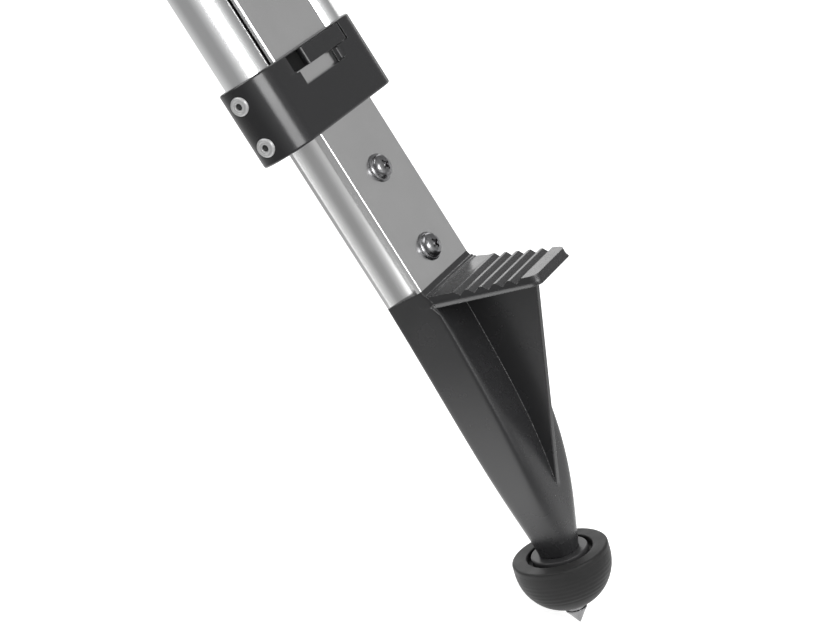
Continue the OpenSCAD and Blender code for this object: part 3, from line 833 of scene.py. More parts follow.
@dataclass(frozen=True)
class RailPair(LegPart):
    """The two round rails of a leg and the cap that holds their upper ends."""

    radius: float = 12.7
    wall: float = 1.6
    edge: float = 0.35
    offset: float = 38.6
    low: float = 97.0
    high: float = 880.0
    socket_r: float = 16.6
    fillet: float = 1.6
    collar: float = 9.0
    collar_step: Point2 = (0.35, 0.5)
    cap_low: float = 846.0
    cap_high: float = 886.0
    bridge: float = 12.0
    cheek_in: float = 22.3
    cheek_out: float = 31.3
    cheek_r: float = 12.0
    hinge_z: float = 900.0
    bolt_r: float = 5.05
    bolt_reach: float = 60.0
    gusset: Outline = ((-9, -1), (1, 7), (1, -6), (-9, -6))
    gusset_half: float = 2.0
    trough_rim: Point2 = (2.5, 3.0)
    trough_h: float = 6.0

    def rail(self) -> Form:
        """Turns one rail about its own axis, with its cut ends broken.

        Returns:
            The rail.
        """
        outer, inner, edge = self.radius, self.radius - self.wall, self.edge
        low, high = self.low, self.high
        profile = [(inner, low + edge), (inner + edge, low), (outer - edge, low), (outer, low + edge)]
        profile += [(outer, high - edge), (outer - edge, high), (inner + edge, high), (inner, high - edge)]
        return Form.turned(profile, ring=True, steps=128)

    def cap(self) -> Form:
        """Shapes the cap: two sockets, a bridge, two forked cheeks and their gussets.

        Returns:
            The cap.
        """
        low, high, r, fillet = self.cap_low, self.cap_high, self.socket_r, self.fillet
        sunk, rise = self.collar_step
        profile = [(0, low)] + arc((r - fillet, low + fillet), fillet, -90, 0, 4)
        profile += [(r, low + self.collar), (r - sunk, low + self.collar + rise)]
        profile += [(r - sunk, high - self.collar - rise), (r, high - self.collar)]
        profile += arc((r - fillet, high - fillet), fillet, 0, 90, 4) + [(0, high)]
        socket = Form.turned(profile).at(0, self.offset, 0)
        half, base = self.cheek_r, high - self.bridge
        fork = arc((0, self.hinge_z), half, 0, 180, 24) + [(-half, base), (half, base)]
        cheek = Form.drawn(fork, self.cheek_in, self.cheek_out, Lie.ALONG_Y)
        corner = placed(self.gusset, self.cheek_in, high)
        gusset = Form.drawn(corner, -self.gusset_half, self.gusset_half, Lie.ALONG_X)
        bridge = Form.block((-half, -self.offset, base), (half, self.offset, high))
        x, y = half - self.trough_rim[0], self.cheek_in - self.trough_rim[1]
        bridge.worked(Solid.REMOVE, Form.block((-x, -y, base - PAST), (x, y, base + self.trough_h)))
        bridge.worked(Solid.ADD, *socket.pair(), *cheek.pair())
        bore = Form.rod(self.radius + FIT, low - PAST, self.high).at(0, self.offset, 0)
        bolt = Form.rod(self.bolt_r, -self.bolt_reach, self.bolt_reach, 48)
        bolt.moved(shift(0, 0, self.hinge_z) @ turn(90, "X"))
        bridge.worked(Solid.REMOVE, *bore.pair(), bolt)
        return bridge.joined(*gusset.pair())

    def pieces(self) -> list[Piece]:
        """Lists the rails and the cap.

        Returns:
            The pieces.
        """
        pieces = []
        for side, sign in (("left", -1), ("right", 1)):
            rail = self.rail().at(0, sign * self.offset, 0)
            pieces.append(Piece(f"{side}_round_rail", RAIL_METAL, rail, "leg", f"{side}_rail"))
        return pieces + [Piece("rail_cap", HOUSING_PLASTIC, self.cap(), "leg", "leg_cap")]


@dataclass(frozen=True)
class FlipClamp(LegPart):
    """The clamp round the rails' lower ends, its flush lever and the rivets."""

    rail_r: float = 12.7
    rail_y: float = 38.6
    outer_r: float = 16.6
    low: float = 94.5
    high: float = 137.0
    floor: float = 2.5
    rim: float = 1.2
    slot: Point2 = (12.35, 28.15)
    slot_r: float = 1.5
    front: float = 19.0
    pocket_low: float = 126.0
    pocket_high: float = 136.0
    pocket_end: float = -23.0
    ramp: float = 6.0
    ramp_depth: float = 1.0
    ramp_lip: float = 1.0
    window_y: float = 20.25
    window_low: float = 118.5
    facet_depth: float = 1.8
    facet_run: float = 3.0
    facet_ends: Point2 = (0.7, 0.8)
    facet_lap: float = 0.1
    pin: Point2 = (14.65, 29.3)
    pin_r: float = 1.25
    pin_low: float = 115.0
    barrel_r: float = 2.35
    barrel_gap: float = 0.3
    lever_front: float = 17.0
    lever_back: float = 13.7
    lever_low: float = 126.3
    lever_high: float = 135.7
    lever_tip: float = -9.5
    tip_r: float = 1.7
    lever_corner: float = 3.0
    lever_neck: Point2 = (2.0, 4.0)
    rivet_back: float = 1.0
    rivet_heights: tuple[float, ...] = (103.8, 127.7, 855.3, 870.7)
    rivet_head: Outline = (
        (0, 0.15), (1.1, 0.15), (1.2, -0.3), (1.75, -0.3), (1.85, 0.75), (2.05, 0.95),
        (2.5, 0.9), (2.85, 0.65), (3.1, 0.62), (3.45, 0.9), (3.9, 1.02), (4.4, 0.9),
        (4.8, 0.55), (5, 0.1), (5, -1.1), (2.4, -1.1), (2.4, -7.4), (0, -7.4),
    )  # fmt: skip
    rivet_stem: Outline = (
        (0, 0.42), (0.75, 0.38), (1.05, 0.2), (1.78, 0.12), (1.78, -0.9), (0, -0.9),
    )  # fmt: skip

    def housing(self) -> Form:
        """Shapes the housing with its bores, pocket, ramp and window.

        Returns:
            The housing.
        """
        low, high, r, front = self.low, self.high, self.outer_r, self.front
        floor, roof, end, side = self.pocket_low, self.pocket_high, self.pocket_end, self.window_y
        outline = arc((0, self.rail_y), r, 0, 180, 48) + arc((0, -self.rail_y), r, 180, 360, 48)
        body = Form.drawn(outline, low, high).rounded(self.rim, rim(low, high), 4)
        bore = Form.rod(self.rail_r + FIT, low + self.floor, high + PAST).at(0, self.rail_y, 0)
        x, y = self.slot
        slot = Form.block((-x, -y, low - PAST), (x, y, high + PAST)).rounded(self.slot_r, upright, 3)
        x, y = self.pin
        wide = self.barrel_r + self.barrel_gap
        pocket = Form.block((0, end, floor), (front, y, roof))
        barrel = Form.rod(wide, floor, roof, 40).at(x, y, 0)
        mouth = Form.block((x, y - PAST, floor), (front, y + wide, roof))
        window = Form.block((0, -side, self.window_low), (front, side, floor + PAST))
        near, far = side - self.facet_lap, side + self.facet_run
        facet = [(r - self.facet_depth, near), (r, far), (front, far), (front, near)]
        lower, upper = self.facet_ends
        bevelled = Form.drawn(facet, self.window_low + lower, floor - upper)
        start, deep = end - self.ramp, r - self.ramp_depth
        slope = [(r, start), (r + PAST, start), (r + PAST, end + PAST), (deep, end + PAST), (deep, end)]
        ramp = Form.drawn(slope, floor + self.ramp_lip, roof)
        pin = Form.rod(self.pin_r, self.pin_low, high + 2 * PAST, 24).at(x, y, 0)
        body.worked(Solid.REMOVE, *bore.pair(), slot, pocket, barrel, mouth, window, bevelled)
        return body.worked(Solid.REMOVE, ramp, pin)

    def lever(self) -> Form:
        """Shapes the lever with its hinge barrel and rounded lower corner.

        Returns:
            The lever.
        """
        front, back, low, high = self.lever_front, self.lever_back, self.lever_low, self.lever_high
        x, y = self.pin
        plan = [(back, self.lever_tip)]
        plan += arc((front - self.tip_r, self.lever_tip + self.tip_r), self.tip_r, -90, 0, 8)
        plan += [(front, y)] + arc((x, y), self.barrel_r, 0, 180, 14)
        near, far = self.lever_neck
        plan += [(x - self.barrel_r, y - near), (back, y - far)]
        corner, end = self.lever_corner, y + self.barrel_r
        cut = [(end + PAST, low - PAST), (end + PAST, low + corner)]
        cut += arc((end - corner, low + corner), corner, 0, -90, 10) + [(end - corner, low - PAST)]
        cutter = Form.drawn(cut, back - 3 * PAST, front + PAST, Lie.ALONG_X)
        bore = Form.rod(self.pin_r, low - PAST, high + PAST, 24).at(x, y, 0)
        return Form.drawn(plan, low, high).worked(Solid.REMOVE, cutter, bore)

    def studs(self, profile: Outline, steps: int) -> Form:
        """Turns a profile and sets it in the place of every rivet.

        Args:
            profile: Its points as (radius, height over the rail's socket).
            steps: Number of sides.

        Returns:
            All that is set in one leg.
        """
        every = Form()
        for sign in (-1, 1):
            for height in self.rivet_heights:
                place = shift(-self.rivet_back, sign * self.rail_y, height) @ turn(-sign * 90, "X")
                one = Form.turned(placed(profile, 0, self.outer_r), steps=steps)
                every.joined(one.moved(place))
        return every

    def pieces(self) -> list[Piece]:
        """Lists the housing, the lever, the rivets, and the pin and the pad inside.

        Returns:
            The pieces.
        """
        rivets, stems = self.studs(self.rivet_head, 48), self.studs(self.rivet_stem, 24)
        return [
            Piece("clamp_body", HOUSING_PLASTIC, self.housing(), "leg", "clamp_housing"),
            Piece("flush_lever", LEVER_PLASTIC, self.lever(), "lever", "clamp_lever"),
            Piece("blind_rivets", RIVET_METAL, rivets, "leg", "leg_rivets"),
            Piece("rivet_stems", MANDREL_STEEL, stems, "leg"),
            Piece("lever_pin", MANDREL_STEEL),
            # The pad takes near-black as painted shade for the pocket round it.
            Piece("brake_pad", PAD_BLACK_AND_SHADE),
        ]


@dataclass(frozen=True)
class InnerLeg(LegPart):
    """The sliding inner tube, its guide block and the two screws in its lower end."""

    width: float = 55.6
    depth: float = 24.0
    wall: float = 1.8
    corner: float = 0.95
    inner_corner: float = 0.4
    length: float = 790.0
    rail_y: float = 38.6
    groove_r: float = 14.3
    # Near-black sheets in the grooves: painted shade for the gaps between the rails and the tube.
    shade_sheet_thick: float = 0.3
    shade_sheet_half: float = 9.2
    shade_sheet_low: float = 96.0
    # Grey sheets on the flats beside the grooves: painted shade that dims the bare metal's gloss.
    flank_sheet: Point2 = (9.5, 11.2)
    flank_sheet_half: float = 0.1
    guide: float = 28.0
    guide_size: Point2 = (28.0, 65.6)
    guide_groove_r: float = 13.1
    guide_corner: float = 1.6
    scoop: Point3 = (8.0, 18.0, 6.0)
    scoop_corner: float = 2.0
    plug: float = 20.0
    plug_size: Point2 = (20.0, 51.6)
    plug_corner: float = 0.6
    plug_gap: float = 2.1
    screw_heights: tuple[float, ...] = (15.0, 62.5)
    screw_turn: float = 20.0
    screw: Outline = (
        (0, -11.5), (2.4, -11.5), (2.4, 0), (7.55, 0), (7.75, 0.25), (7.75, 0.75), (7.3, 1.12),
        (6.85, 1.2), (6.7, 1.4), (6.65, 2.3), (6.2, 3.2), (5.3, 4.0), (3.9, 4.5), (2.1, 4.75),
        (0, 4.8),
    )  # fmt: skip
    cross: Outline = ((-3.2, 5.5), (-2.7, 3.1), (2.7, 3.1), (3.2, 5.5))
    cross_half: float = 0.65
    cross_root: Outline = ((0, 2.2), (1.2, 3.0), (1.9, 5.5), (0, 5.5))

    def grooved(self, size: Point2, corner: float, low: float, high: float, groove: float) -> Form:
        """Shapes a bar with a groove for the rail down each narrow side.

        Args:
            size: The bar's depth and width.
            corner: Its corner radius.
            low: Its lower end.
            high: Its upper end.
            groove: The groove's radius.

        Returns:
            The bar.
        """
        x, y = size[0] / 2, size[1] / 2
        bar = Form.block((-x, -y, low), (x, y, high)).rounded(corner, upright, 4)
        channel = Form.rod(groove, low - PAST, high + PAST, 128).at(0, self.rail_y, 0)
        return bar.worked(Solid.REMOVE, *channel.pair())

    def tube(self) -> Form:
        """Shapes the extruded tube.

        Returns:
            The tube.
        """
        wall, top, groove = self.wall, self.length, self.groove_r
        inner = (self.depth - 2 * wall, self.width - 2 * wall)
        body = self.grooved((self.depth, self.width), self.corner, 0, top, groove)
        hollow = self.grooved(inner, self.inner_corner, -PAST, top + PAST, groove + wall)
        return body.worked(Solid.REMOVE, hollow)

    def groove_shade_sheets(self) -> Form:
        """Shapes thin near-black sheets in the tube's two grooves, painted shade for the gaps round the
        rails.

        Returns:
            Both strips.
        """
        low, high, x, y = self.shade_sheet_low, self.length, self.shade_sheet_half, self.width / 2
        both = Form()
        for side in (-1, 1):
            strip = Form.rod(self.groove_r, low, high, 128)
            hollow = Form.rod(self.groove_r - self.shade_sheet_thick, low - PAST, high + PAST, 128)
            strip.worked(Solid.REMOVE, hollow).at(0, side * self.rail_y, 0)
            both.joined(strip.worked(Solid.KEEP, Form.block((-x, -y, low), (x, y, high))))
        return both

    def flank_shade_sheets(self) -> Form:
        """Shapes thin grey sheets on the flats beside the grooves, painted shade that dims the bare metal
        there.

        Returns:
            All four tapes.
        """
        thin, every = self.flank_sheet_half, Form()
        for side in (-1, 1):
            for front in (-1, 1):
                near, far = sorted(front * edge for edge in self.flank_sheet)
                y = side * self.width / 2
                flank_sheet = Form.block((near, y - thin, self.shade_sheet_low), (far, y + thin, self.length))
                every.joined(flank_sheet.rounded(thin / 2, upright, 2))
        return every

    def guide_block(self) -> Form:
        """Shapes the guide block and its plug.

        Returns:
            The block.
        """
        low, top = self.length, self.length + self.guide
        block = self.grooved(self.guide_size, self.guide_corner, low, top, self.guide_groove_r)
        x, y, deep = self.scoop
        scoop = Form.block((-x, -y, top - deep), (x, y, top + PAST))
        scoop.rounded(self.scoop_corner, upright, 3)
        groove = self.groove_r + self.plug_gap
        plug = self.grooved(self.plug_size, self.plug_corner, low - self.plug, low + PAST, groove)
        return block.worked(Solid.REMOVE, scoop).joined(plug)

    def screws(self) -> Form:
        """Turns the pan-head screws with their flanges and cuts their crosses.

        Returns:
            Both screws.
        """
        both, half = Form(), self.cross_half
        centre = Form.turned(self.cross_root, steps=24)
        for height in self.screw_heights:
            first = Form.drawn(self.cross, -half, half, Lie.ALONG_Y)
            second = Form(first.bm).moved(turn(90, "Z"))
            one = Form.turned(self.screw, steps=72).worked(Solid.REMOVE, first, second, centre)
            turned = turn(90, "Y") @ turn(self.screw_turn, "Z")
            both.joined(one.moved(shift(self.depth / 2, 0, height) @ turned))
        return both

    def pieces(self) -> list[Piece]:
        """Lists the tube, the guide block, the sheets of painted shade in and beside the grooves, and the
        screws.

        Returns:
            The pieces.
        """
        return [
            Piece("sliding_tube", TUBE_METAL, self.tube(), "lower", "inner_leg"),
            Piece("guide_block", HOUSING_PLASTIC, self.guide_block(), "lower", "leg_guide"),
            # Painted shade: near-black sheets in the grooves and grey sheets on the flats beside them.
            Piece("groove_painted_shade", PAD_BLACK_AND_SHADE, self.groove_shade_sheets(), "lower"),
            Piece("flank_painted_shade", FLANK_SHADE_GREY, self.flank_shade_sheets(), "lower"),
            Piece("shoe_screws", SCREW_CHROME, self.screws(), "lower", "foot_screws"),
        ]


@dataclass(frozen=True)
class StepShoe(LegPart):
    """The moulded shoe: its twisting body, collar, ribbed pedal and central rib."""

    tube_w: float = 55.6
    tube_d: float = 24.0
    length: float = 162.0
    inset: float = 22.0
    tilt: float = 18.0
    neck_w: float = 10.4
    neck_d: float = 10.5
    belly: float = 2.3
    bow: float = 2.6
    neck_end: float = -1.1
    lean_rate: float = 1.5
    waist_rate: float = 3.7
    roundest: float = 2.4
    squarer: float = 30.0
    square_rate: float = 1.6
    rings: int = 60
    ring_points: int = 240
    collar: float = 3.0
    step: Point2 = (5.0, 0.7)
    inner: float = 6.0
    shoulder: Point2 = (11.6, 12.7)
    root: float = 13.4
    out: float = 70.0
    flush_gap: float = 0.2
    tip_half: float = 20.0
    tip_draw: float = 0.7
    tip_corner: float = 5.0
    tip_turn: float = 80.0
    slope: float = 16.0
    thick: float = 5.4
    drop: float = 0.9
    pan: float = 0.5
    pan_rim: float = 2.2
    pan_ends: tuple[float, ...] = (1.5, 0.3, 3.4, 1.5)
    soft: float = 0.32
    ridge_start: float = 27.1
    ridge_pitch: float = 7.35
    ridge_land: float = 1.5
    ridge_run: float = 2.3
    ridges: int = 5
    ridge_h: float = 2.5
    lip_part: float = 0.77
    flare: tuple[Point2, ...] = (
        (-1.3, 1.0), (-1.6, 0.98), (-1.55, 0.96), (-1.0, 0.88), (-0.52, 0.8),
        (-0.12, 0.72), (0.18, 0.64), (0.38, 0.55), (0.42, 0.3), (0.42, -0.6),
    )  # fmt: skip
    draft: float = 0.2
    rib: float = 4.0
    rib_out: float = 59.0
    rib_in: float = 3.0
    rib_low: Outline = ((-3, -135), (-10, -135))
    rib_back: float = -67.5
    rib_soft: float = 0.5
    root_fillet: float = 2.6
    fillet_span: Point2 = (0.03, 0.25)
    curl: tuple[tuple[float, float, float, float], ...] = (
        (13.6, 28.2, -8.9, 1.3), (14.0, 27.9, -11.2, 1.1),
        (14.4, 27.5, -13.6, 0.7), (14.5, 27.1, -16, 0.2),
    )  # fmt: skip
    plug: Point2 = (9.9, 25.6)
    plug_ends: Point2 = (-2.0, 78.0)
    rail_y: float = 38.6
    plug_groove_r: float = 16.4
    beyond: float = 40.0
    below: float = -60.0
    crease: float = 30.0

    def ring(self, t: float) -> list[Point3]:
        """Gives one section of the shoe's body.

        Args:
            t: Its place from the tube's end, 0, to the neck's end, 1.

        Returns:
            The section's points.
        """
        bend = math.radians(self.tilt)
        x = (-self.inset - self.neck_end * math.sin(bend)) * t**self.bow
        z = (-self.length - self.neck_end * math.cos(bend)) * t
        lean = bend * t**self.lean_rate
        half_w = self.neck_w + (self.tube_w / 2 - self.neck_w) * (1 - t**self.waist_rate)
        half_d = self.tube_d / 2 + (self.neck_d - self.tube_d / 2) * t
        half_d += self.belly * math.sin(math.pi * t)
        start, reached = self.fillet_span
        fillet = self.root_fillet * math.exp(-((t / reached) ** 2)) * (1 - math.exp(-((t / start) ** 2)))
        power = self.roundest + self.squarer * (1 - t) ** self.square_rate
        ring = []
        for i in range(self.ring_points):
            angle = math.tau * (i + 0.5) / self.ring_points
            across, outwards = math.cos(angle), math.sin(angle)
            reach = (abs(across) ** power + abs(outwards) ** power) ** (-1 / power)
            d = (half_d + (fillet if outwards > 0 else 0.0)) * outwards * reach
            ring.append((x + math.cos(lean) * d, half_w * across * reach, z - math.sin(lean) * d))
        return ring

    def tread(self, x: float, deeper: float = 0.0) -> float:
        """Returns the height of the pedal's crests at x, or a place deeper below them."""
        fall = (x - self.root) * math.tan(math.radians(self.slope))
        return -self.collar - self.drop - fall - deeper

    def plan(self, inset: float, part: float) -> list[Point2]:
        """Draws the pedal's tapered plan at one height.

        Args:
            inset: How far its sides are set in.
            part: The height's share of the pedal's thickness, from its crests down.

        Returns:
            The plan's points.
        """
        tip, corner, (first, second) = self.tip_half - self.tip_draw * inset, self.tip_corner, self.shoulder
        wide, out = self.tube_w / 2 - inset, self.out - self.draft * max(part, 0.0)
        flush = min(wide, self.tube_w / 2 - self.flush_gap)
        near = [(self.inner, -flush), (first, -flush), (second, -(flush + wide) / 2), (self.root, -wide)]
        end = arc((out - corner, corner - tip), corner, -self.tip_turn, 0, 10)
        end += arc((out - corner, tip - corner), corner, 0, self.tip_turn, 10)
        return near + end + [(x, -y) for x, y in reversed(near)]

    def pedal(self) -> Form:
        """Shapes the pedal: collar step, pan, saw-toothed tread, flat lip and flared lower edge.

        Returns:
            The pedal.
        """
        root, first, wide, (back, foot) = self.root, self.ridge_start, self.beyond, self.step
        taper = self.drop / (self.out - root)
        block = Form.lofted(
            [
                [
                    (x, y, self.tread(x, part * (self.thick + self.drop - taper * (x - root))))
                    for x, y in self.plan(inset, part)
                ]
                for inset, part in self.flare
            ]
        )
        side = [(back, -self.collar), (root, -self.collar), (root + foot, self.tread(root + foot))]
        for i in range(self.ridges):
            crest = first + i * self.ridge_pitch
            land, valley = crest - self.ridge_land, crest + self.ridge_run
            side += [(land, self.tread(land)), (crest, self.tread(crest))]
            side += [(valley, self.tread(valley, self.ridge_h))]
        lip = first + (self.ridges - 1) * self.ridge_pitch + self.lip_part * self.ridge_pitch
        out = self.out + PAST
        side += [(lip, self.tread(lip)), (out, self.tread(out)), (out, self.below), (back, self.below)]
        block.worked(Solid.KEEP, Form.drawn(side, -wide, wide, Lie.ALONG_Y))
        near, lead, far, brow = self.pan_ends
        start, end, brow, over = root + near, first - far, first - brow, -2 * PAST
        pan = [(start, self.tread(start, over)), (start + lead, self.tread(start, self.pan))]
        pan += [(end, self.tread(end, self.pan)), (brow, self.tread(brow)), (brow, self.tread(first, over))]
        recess = Form.drawn(pan, -wide, wide, Lie.ALONG_Y)
        inside = -self.tube_w / 2 + self.pan_rim
        recess.worked(Solid.KEEP, Form.block((0, inside, self.below), (wide, self.tube_w, wide)))
        return block.worked(Solid.REMOVE, recess).softened(self.soft, 26, 3)

    def curls(self) -> Form:
        """Shapes the small tails by which the pedal's lower edge runs down into the body's corners.

        Returns:
            Both tails.
        """
        both = Form()
        for side in (-1, 1):
            rings = [
                [(x + a, side * y + b, z) for a, b in arc((0, 0), r, 0, 345, 23)]
                for x, y, z, r in self.curl
            ]
            both.joined(Form.lofted(rings))
        return both

    def web(self) -> Form:
        """Shapes the central rib under the pedal.

        Returns:
            The rib.
        """
        out, half, high = self.rib_out, self.rib / 2, self.tread(self.rib_out)
        side = [(self.inner, -self.collar - self.thick), (out, high - self.rib_in)]
        side += [(out, high - self.thick), *self.rib_low, (self.inner, self.rib_back)]
        return Form.drawn(side, -half, half, Lie.ALONG_Y).softened(self.rib_soft, 40, 3)

    def shoe(self) -> Form:
        """Joins the skinned body, the pedal, the tails, the rib and the plug in the tube.

        Returns:
            The shoe.
        """
        (x, y), (low, high) = self.plug, self.plug_ends
        plug = Form.block((-x, -y, low), (x, y, high)).rounded(1.0, upright, 2)
        for sign in (-1, 1):
            groove = Form.rod(self.plug_groove_r, low - PAST, high + PAST)
            plug.worked(Solid.REMOVE, groove.at(0, sign * self.rail_y, 0))
        body = Form.lofted([self.ring(i / self.rings) for i in range(self.rings + 1)])
        return body.joined(self.pedal(), self.curls(), self.web(), plug)

    def pieces(self) -> list[Piece]:
        """Returns the shoe in a list."""
        return [Piece("step_shoe", SHOE_PLASTIC, self.shoe(), "lower", "foot_shoe", self.crease)]


@dataclass(frozen=True)
class BallFoot(LegPart):
    """The rubber ball, the bush in its top and the spike that it runs on."""

    inset: float = 22.0
    below: float = 162.0
    tilt: float = 18.0
    ball_r: float = 26.3
    ball_chords: int = 60
    chord: float = 1.27
    skirt: float = 6.0
    rings: Point2 = (-21.5, -7.5)
    ring_pitch: float = 2.6
    ring_depth: float = 0.16
    mouth: float = 0.7
    shoulder: float = 1.3
    seam: Outline = ((0, -3.0), (-0.12, -3.25), (0, -3.5))
    bore_play: float = 0.4
    hole_edge: float = 0.05
    recess_r: float = 18.1
    recess: float = 4.0
    bush_r: float = 15.6
    bush_top: float = 0.8
    bush_edge: float = 0.8
    bush_lead: float = 0.4
    bush_groove: Outline = ((9.2, 0), (9.5, -0.35), (10.1, -0.35), (10.4, 0))
    bush_body_r: float = 11.0
    bush_low: float = -24.0
    spike_r: float = 6.0
    spike_top: float = 28.0
    cone_top: float = -35.0
    tip: float = -43.0
    thread_top: float = -22.0
    thread_pitch: float = 1.75
    thread_depth: float = 0.85
    thread_ends: Point2 = (1.7, 0.2)
    nose: Outline = ((0, 0), (0.35, 0.1), (0.6, 0.5))
    collar: Outline = ((-0.5, -0.1), (-0.1, 0.2), (0, 0.6), (0, 1.0), (-0.8, 1.4))
    shank: Outline = ((-0.8, 0), (0, 0.4))
    shank_edge: float = 1.0

    def place(self, stance: LegStance) -> Matrix:
        """Returns where the foot's frame lies in the tripod's frame, in metres."""
        foot = stance.matrix() @ shift(-self.inset * MILLIMETRE, 0, -self.below * MILLIMETRE)
        return foot @ turn(self.tilt, "Y")

    def ball(self) -> Form:
        """Turns the ball with its recess and the fine rings round its side.

        Returns:
            The ball about the foot's axis.
        """
        r, low, (bottom, top), play = self.ball_r, -self.skirt, self.rings, self.bore_play
        side: list[Point2] = []
        for i in range(self.ball_chords + 1):
            angle = math.radians(-i * self.chord)
            x, z = r * math.cos(angle), low + r * math.sin(angle)
            if bottom < z < top:
                wave = 0.5 + 0.5 * math.cos((z - top) * math.tau / self.ring_pitch)
                kept = 1 - self.ring_depth * wave**3 / math.hypot(x, z - low)
                x, z = x * kept, low + (z - low) * kept
            side.append((x, z))
        bore, hole, wide, deep = self.bush_body_r + FIT, self.spike_r + play, self.recess_r, self.recess
        lip, soft = self.mouth, self.shoulder
        profile = [(bore, self.bush_low), (bore, -deep), (wide - play, -deep), (wide, play - deep)]
        profile += [(wide, -lip)] + arc((wide + lip, -lip), lip, 180, 90, 4)
        profile += arc((r - soft, -soft), soft, 90, 0, 6) + placed(self.seam, r, 0)
        profile += side + [(hole, side[-1][1] - self.hole_edge), (hole, self.bush_low)]
        return Form.turned(profile, ring=True, steps=128)

    def bush(self) -> Form:
        """Turns the threaded bush whose cap shows in the ball's recess.

        Returns:
            The bush about the foot's axis.
        """
        bore, cap, low, deep = self.spike_r + FIT, self.bush_top, self.bush_low, self.recess
        lead, edge = self.bush_lead, self.bush_edge
        profile = [(bore, low), (bore, cap - lead), (bore + lead, cap)] + placed(self.bush_groove, 0, cap)
        profile += arc((self.bush_r - edge, cap - edge), edge, 90, 0, 5)
        profile += [(self.bush_r, -deep), (self.bush_body_r, -deep), (self.bush_body_r, low)]
        return Form.turned(profile, ring=True)

    def spike(self) -> Form:
        """Turns the spike's shank, thread and point.

        Returns:
            The spike about the foot's axis.
        """
        r, cone, top, end = self.spike_r, self.cone_top, self.spike_top, self.thread_top
        core = placed(self.nose, 0, self.tip) + placed(self.collar, r, cone) + placed(self.shank, r, end)
        core += [(r, top - self.shank_edge), (r - self.shank_edge, top), (0, top)]
        low, high = cone + self.thread_ends[0], end + self.thread_ends[1]
        thread = Form.threaded(r, r - self.thread_depth, low, high, self.thread_pitch)
        return Form.turned(core, steps=64).joined(thread)

    def pieces(self) -> list[Piece]:
        """Lists the ball, its bush and the spike.

        Returns:
            The pieces.
        """
        return [
            Piece("rubber_ball", BALL_RUBBER, self.ball(), "ball", "ball_foot"),
            Piece("ball_cap", GREY_CAP, self.bush(), "ball", "ball_bush"),
            Piece("steel_spike", SPIKE_STEEL, self.spike(), "lower", "spike"),
        ]


@dataclass(frozen=True)
class FlatHead:
    """The cast head with its three hinge barrels, bolts and nuts."""

    thick: float = 10.0
    hinge_r: float = 62.0
    drop: float = 24.0
    barrel_r: float = 11.0
    barrel_half: float = 22.0
    barrel_edge: float = 0.8
    bolt_r: float = 5.0
    bolt_reach: float = 60.0
    head_r: float = 8.5
    socket: tuple[float, float, float] = (4.6, -38.6, -34.0)
    nut: Point2 = (31.6, 37.6)
    azimuths: tuple[float, ...] = (-30.0, 90.0, 210.0)
    pivot_r: float = 52.0
    pivot_bore: tuple[float, float, float] = (4.05, -11.0, -2.0)
    plate_edge: float = 1.6
    plate_rim: float = 73.4
    plate_hole: float = 34.8
    plate_face: Outline = (
        (34, -9.2), (34, -0.8), (34.8, 0), (46, 0), (46.3, -0.3), (46.9, -0.3), (47.2, 0),
        (69.8, 0), (70.1, -0.35), (70.7, -0.35), (71, 0),
    )  # fmt: skip
    bolt: Outline = (
        (0, -37.6), (7.5, -37.6), (8.5, -36.6), (8.5, -33), (8.2, -32.8), (8.5, -32.6),
        (8.5, -31.7), (8.3, -31.6), (5, -31.6), (5, 36.8), (4.2, 37.6), (0, 37.6),
    )  # fmt: skip
    dome: Outline = (
        (0, 31.6), (7.6, 31.6), (8.55, 32.3), (8.55, 36), (6.9, 37.1), (6.3, 37.6), (0, 37.6),
    )  # fmt: skip

    def hinge(self, azimuth: float) -> Matrix:
        """Returns the place of a hinge, with y along its bolt, in millimetres."""
        return turn(azimuth, "Z") @ shift(self.hinge_r, 0, -self.drop)

    def plate(self) -> Form:
        """Shapes the head plate and its hinge barrels.

        Returns:
            The head.
        """
        edge, half, soft, out = self.plate_edge, self.barrel_half, self.barrel_edge, self.plate_rim
        profile = list(self.plate_face) + arc((out, -edge), edge, 90, 0, 5)
        profile += arc((out, edge - self.thick), edge, 0, -90, 5) + [(self.plate_hole, -self.thick)]
        plate = Form.turned(profile, ring=True, steps=192)
        for azimuth in self.azimuths:
            hinge, r = self.hinge(azimuth), self.barrel_r
            barrel = Form.rod(r, -half, half, 64).rounded(soft, rim(-half, half), 2)
            stem = Form.block((-r, soft - half, 0), (r, half - soft, self.drop - self.thick / 2))
            bore = Form.rod(self.bolt_r + FIT, -self.bolt_reach, self.bolt_reach, 48)
            across = hinge @ turn(90, "X")
            plate.worked(Solid.ADD, stem.moved(hinge), barrel.moved(across))
            plate.worked(Solid.REMOVE, bore.moved(across))
        pivot = turn(self.azimuths[0], "Z") @ shift(-self.pivot_r, 0, 0)
        return plate.worked(Solid.REMOVE, Form.rod(*self.pivot_bore, 32).moved(pivot))

    def repeated(self, form: Form) -> Form:
        """Sets copies of a form along the three hinge bolts.

        Args:
            form: The form, about z.

        Returns:
            The three copies.
        """
        hinges = [self.hinge(azimuth) @ turn(-90, "X") for azimuth in self.azimuths]
        return Form().joined(*[Form(form.bm).moved(hinge) for hinge in hinges])

    def pieces(self) -> list[Piece]:
        """Lists the head, the bolts with their sockets, and the nuts with their domed ends.

        Returns:
            The pieces.
        """
        bolt = Form.turned(self.bolt, steps=64).worked(Solid.REMOVE, Form.rod(*self.socket, 6))
        low, high = self.nut
        nut = Form.rod(self.head_r, low, high, 6).worked(Solid.KEEP, Form.turned(self.dome, steps=64))
        nut.worked(Solid.REMOVE, Form.rod(self.bolt_r + FIT, low - PAST, high + PAST, 48))
        return [
            Piece("cast_plate", HEAD_PAINT, self.plate(), "head", "head_plate"),
            Piece("pivot_bolts", ZINC, self.repeated(bolt), "head", "hinge_bolts"),
            Piece("pivot_nuts", ZINC, self.repeated(nut), "head", "hinge_nuts"),
        ]


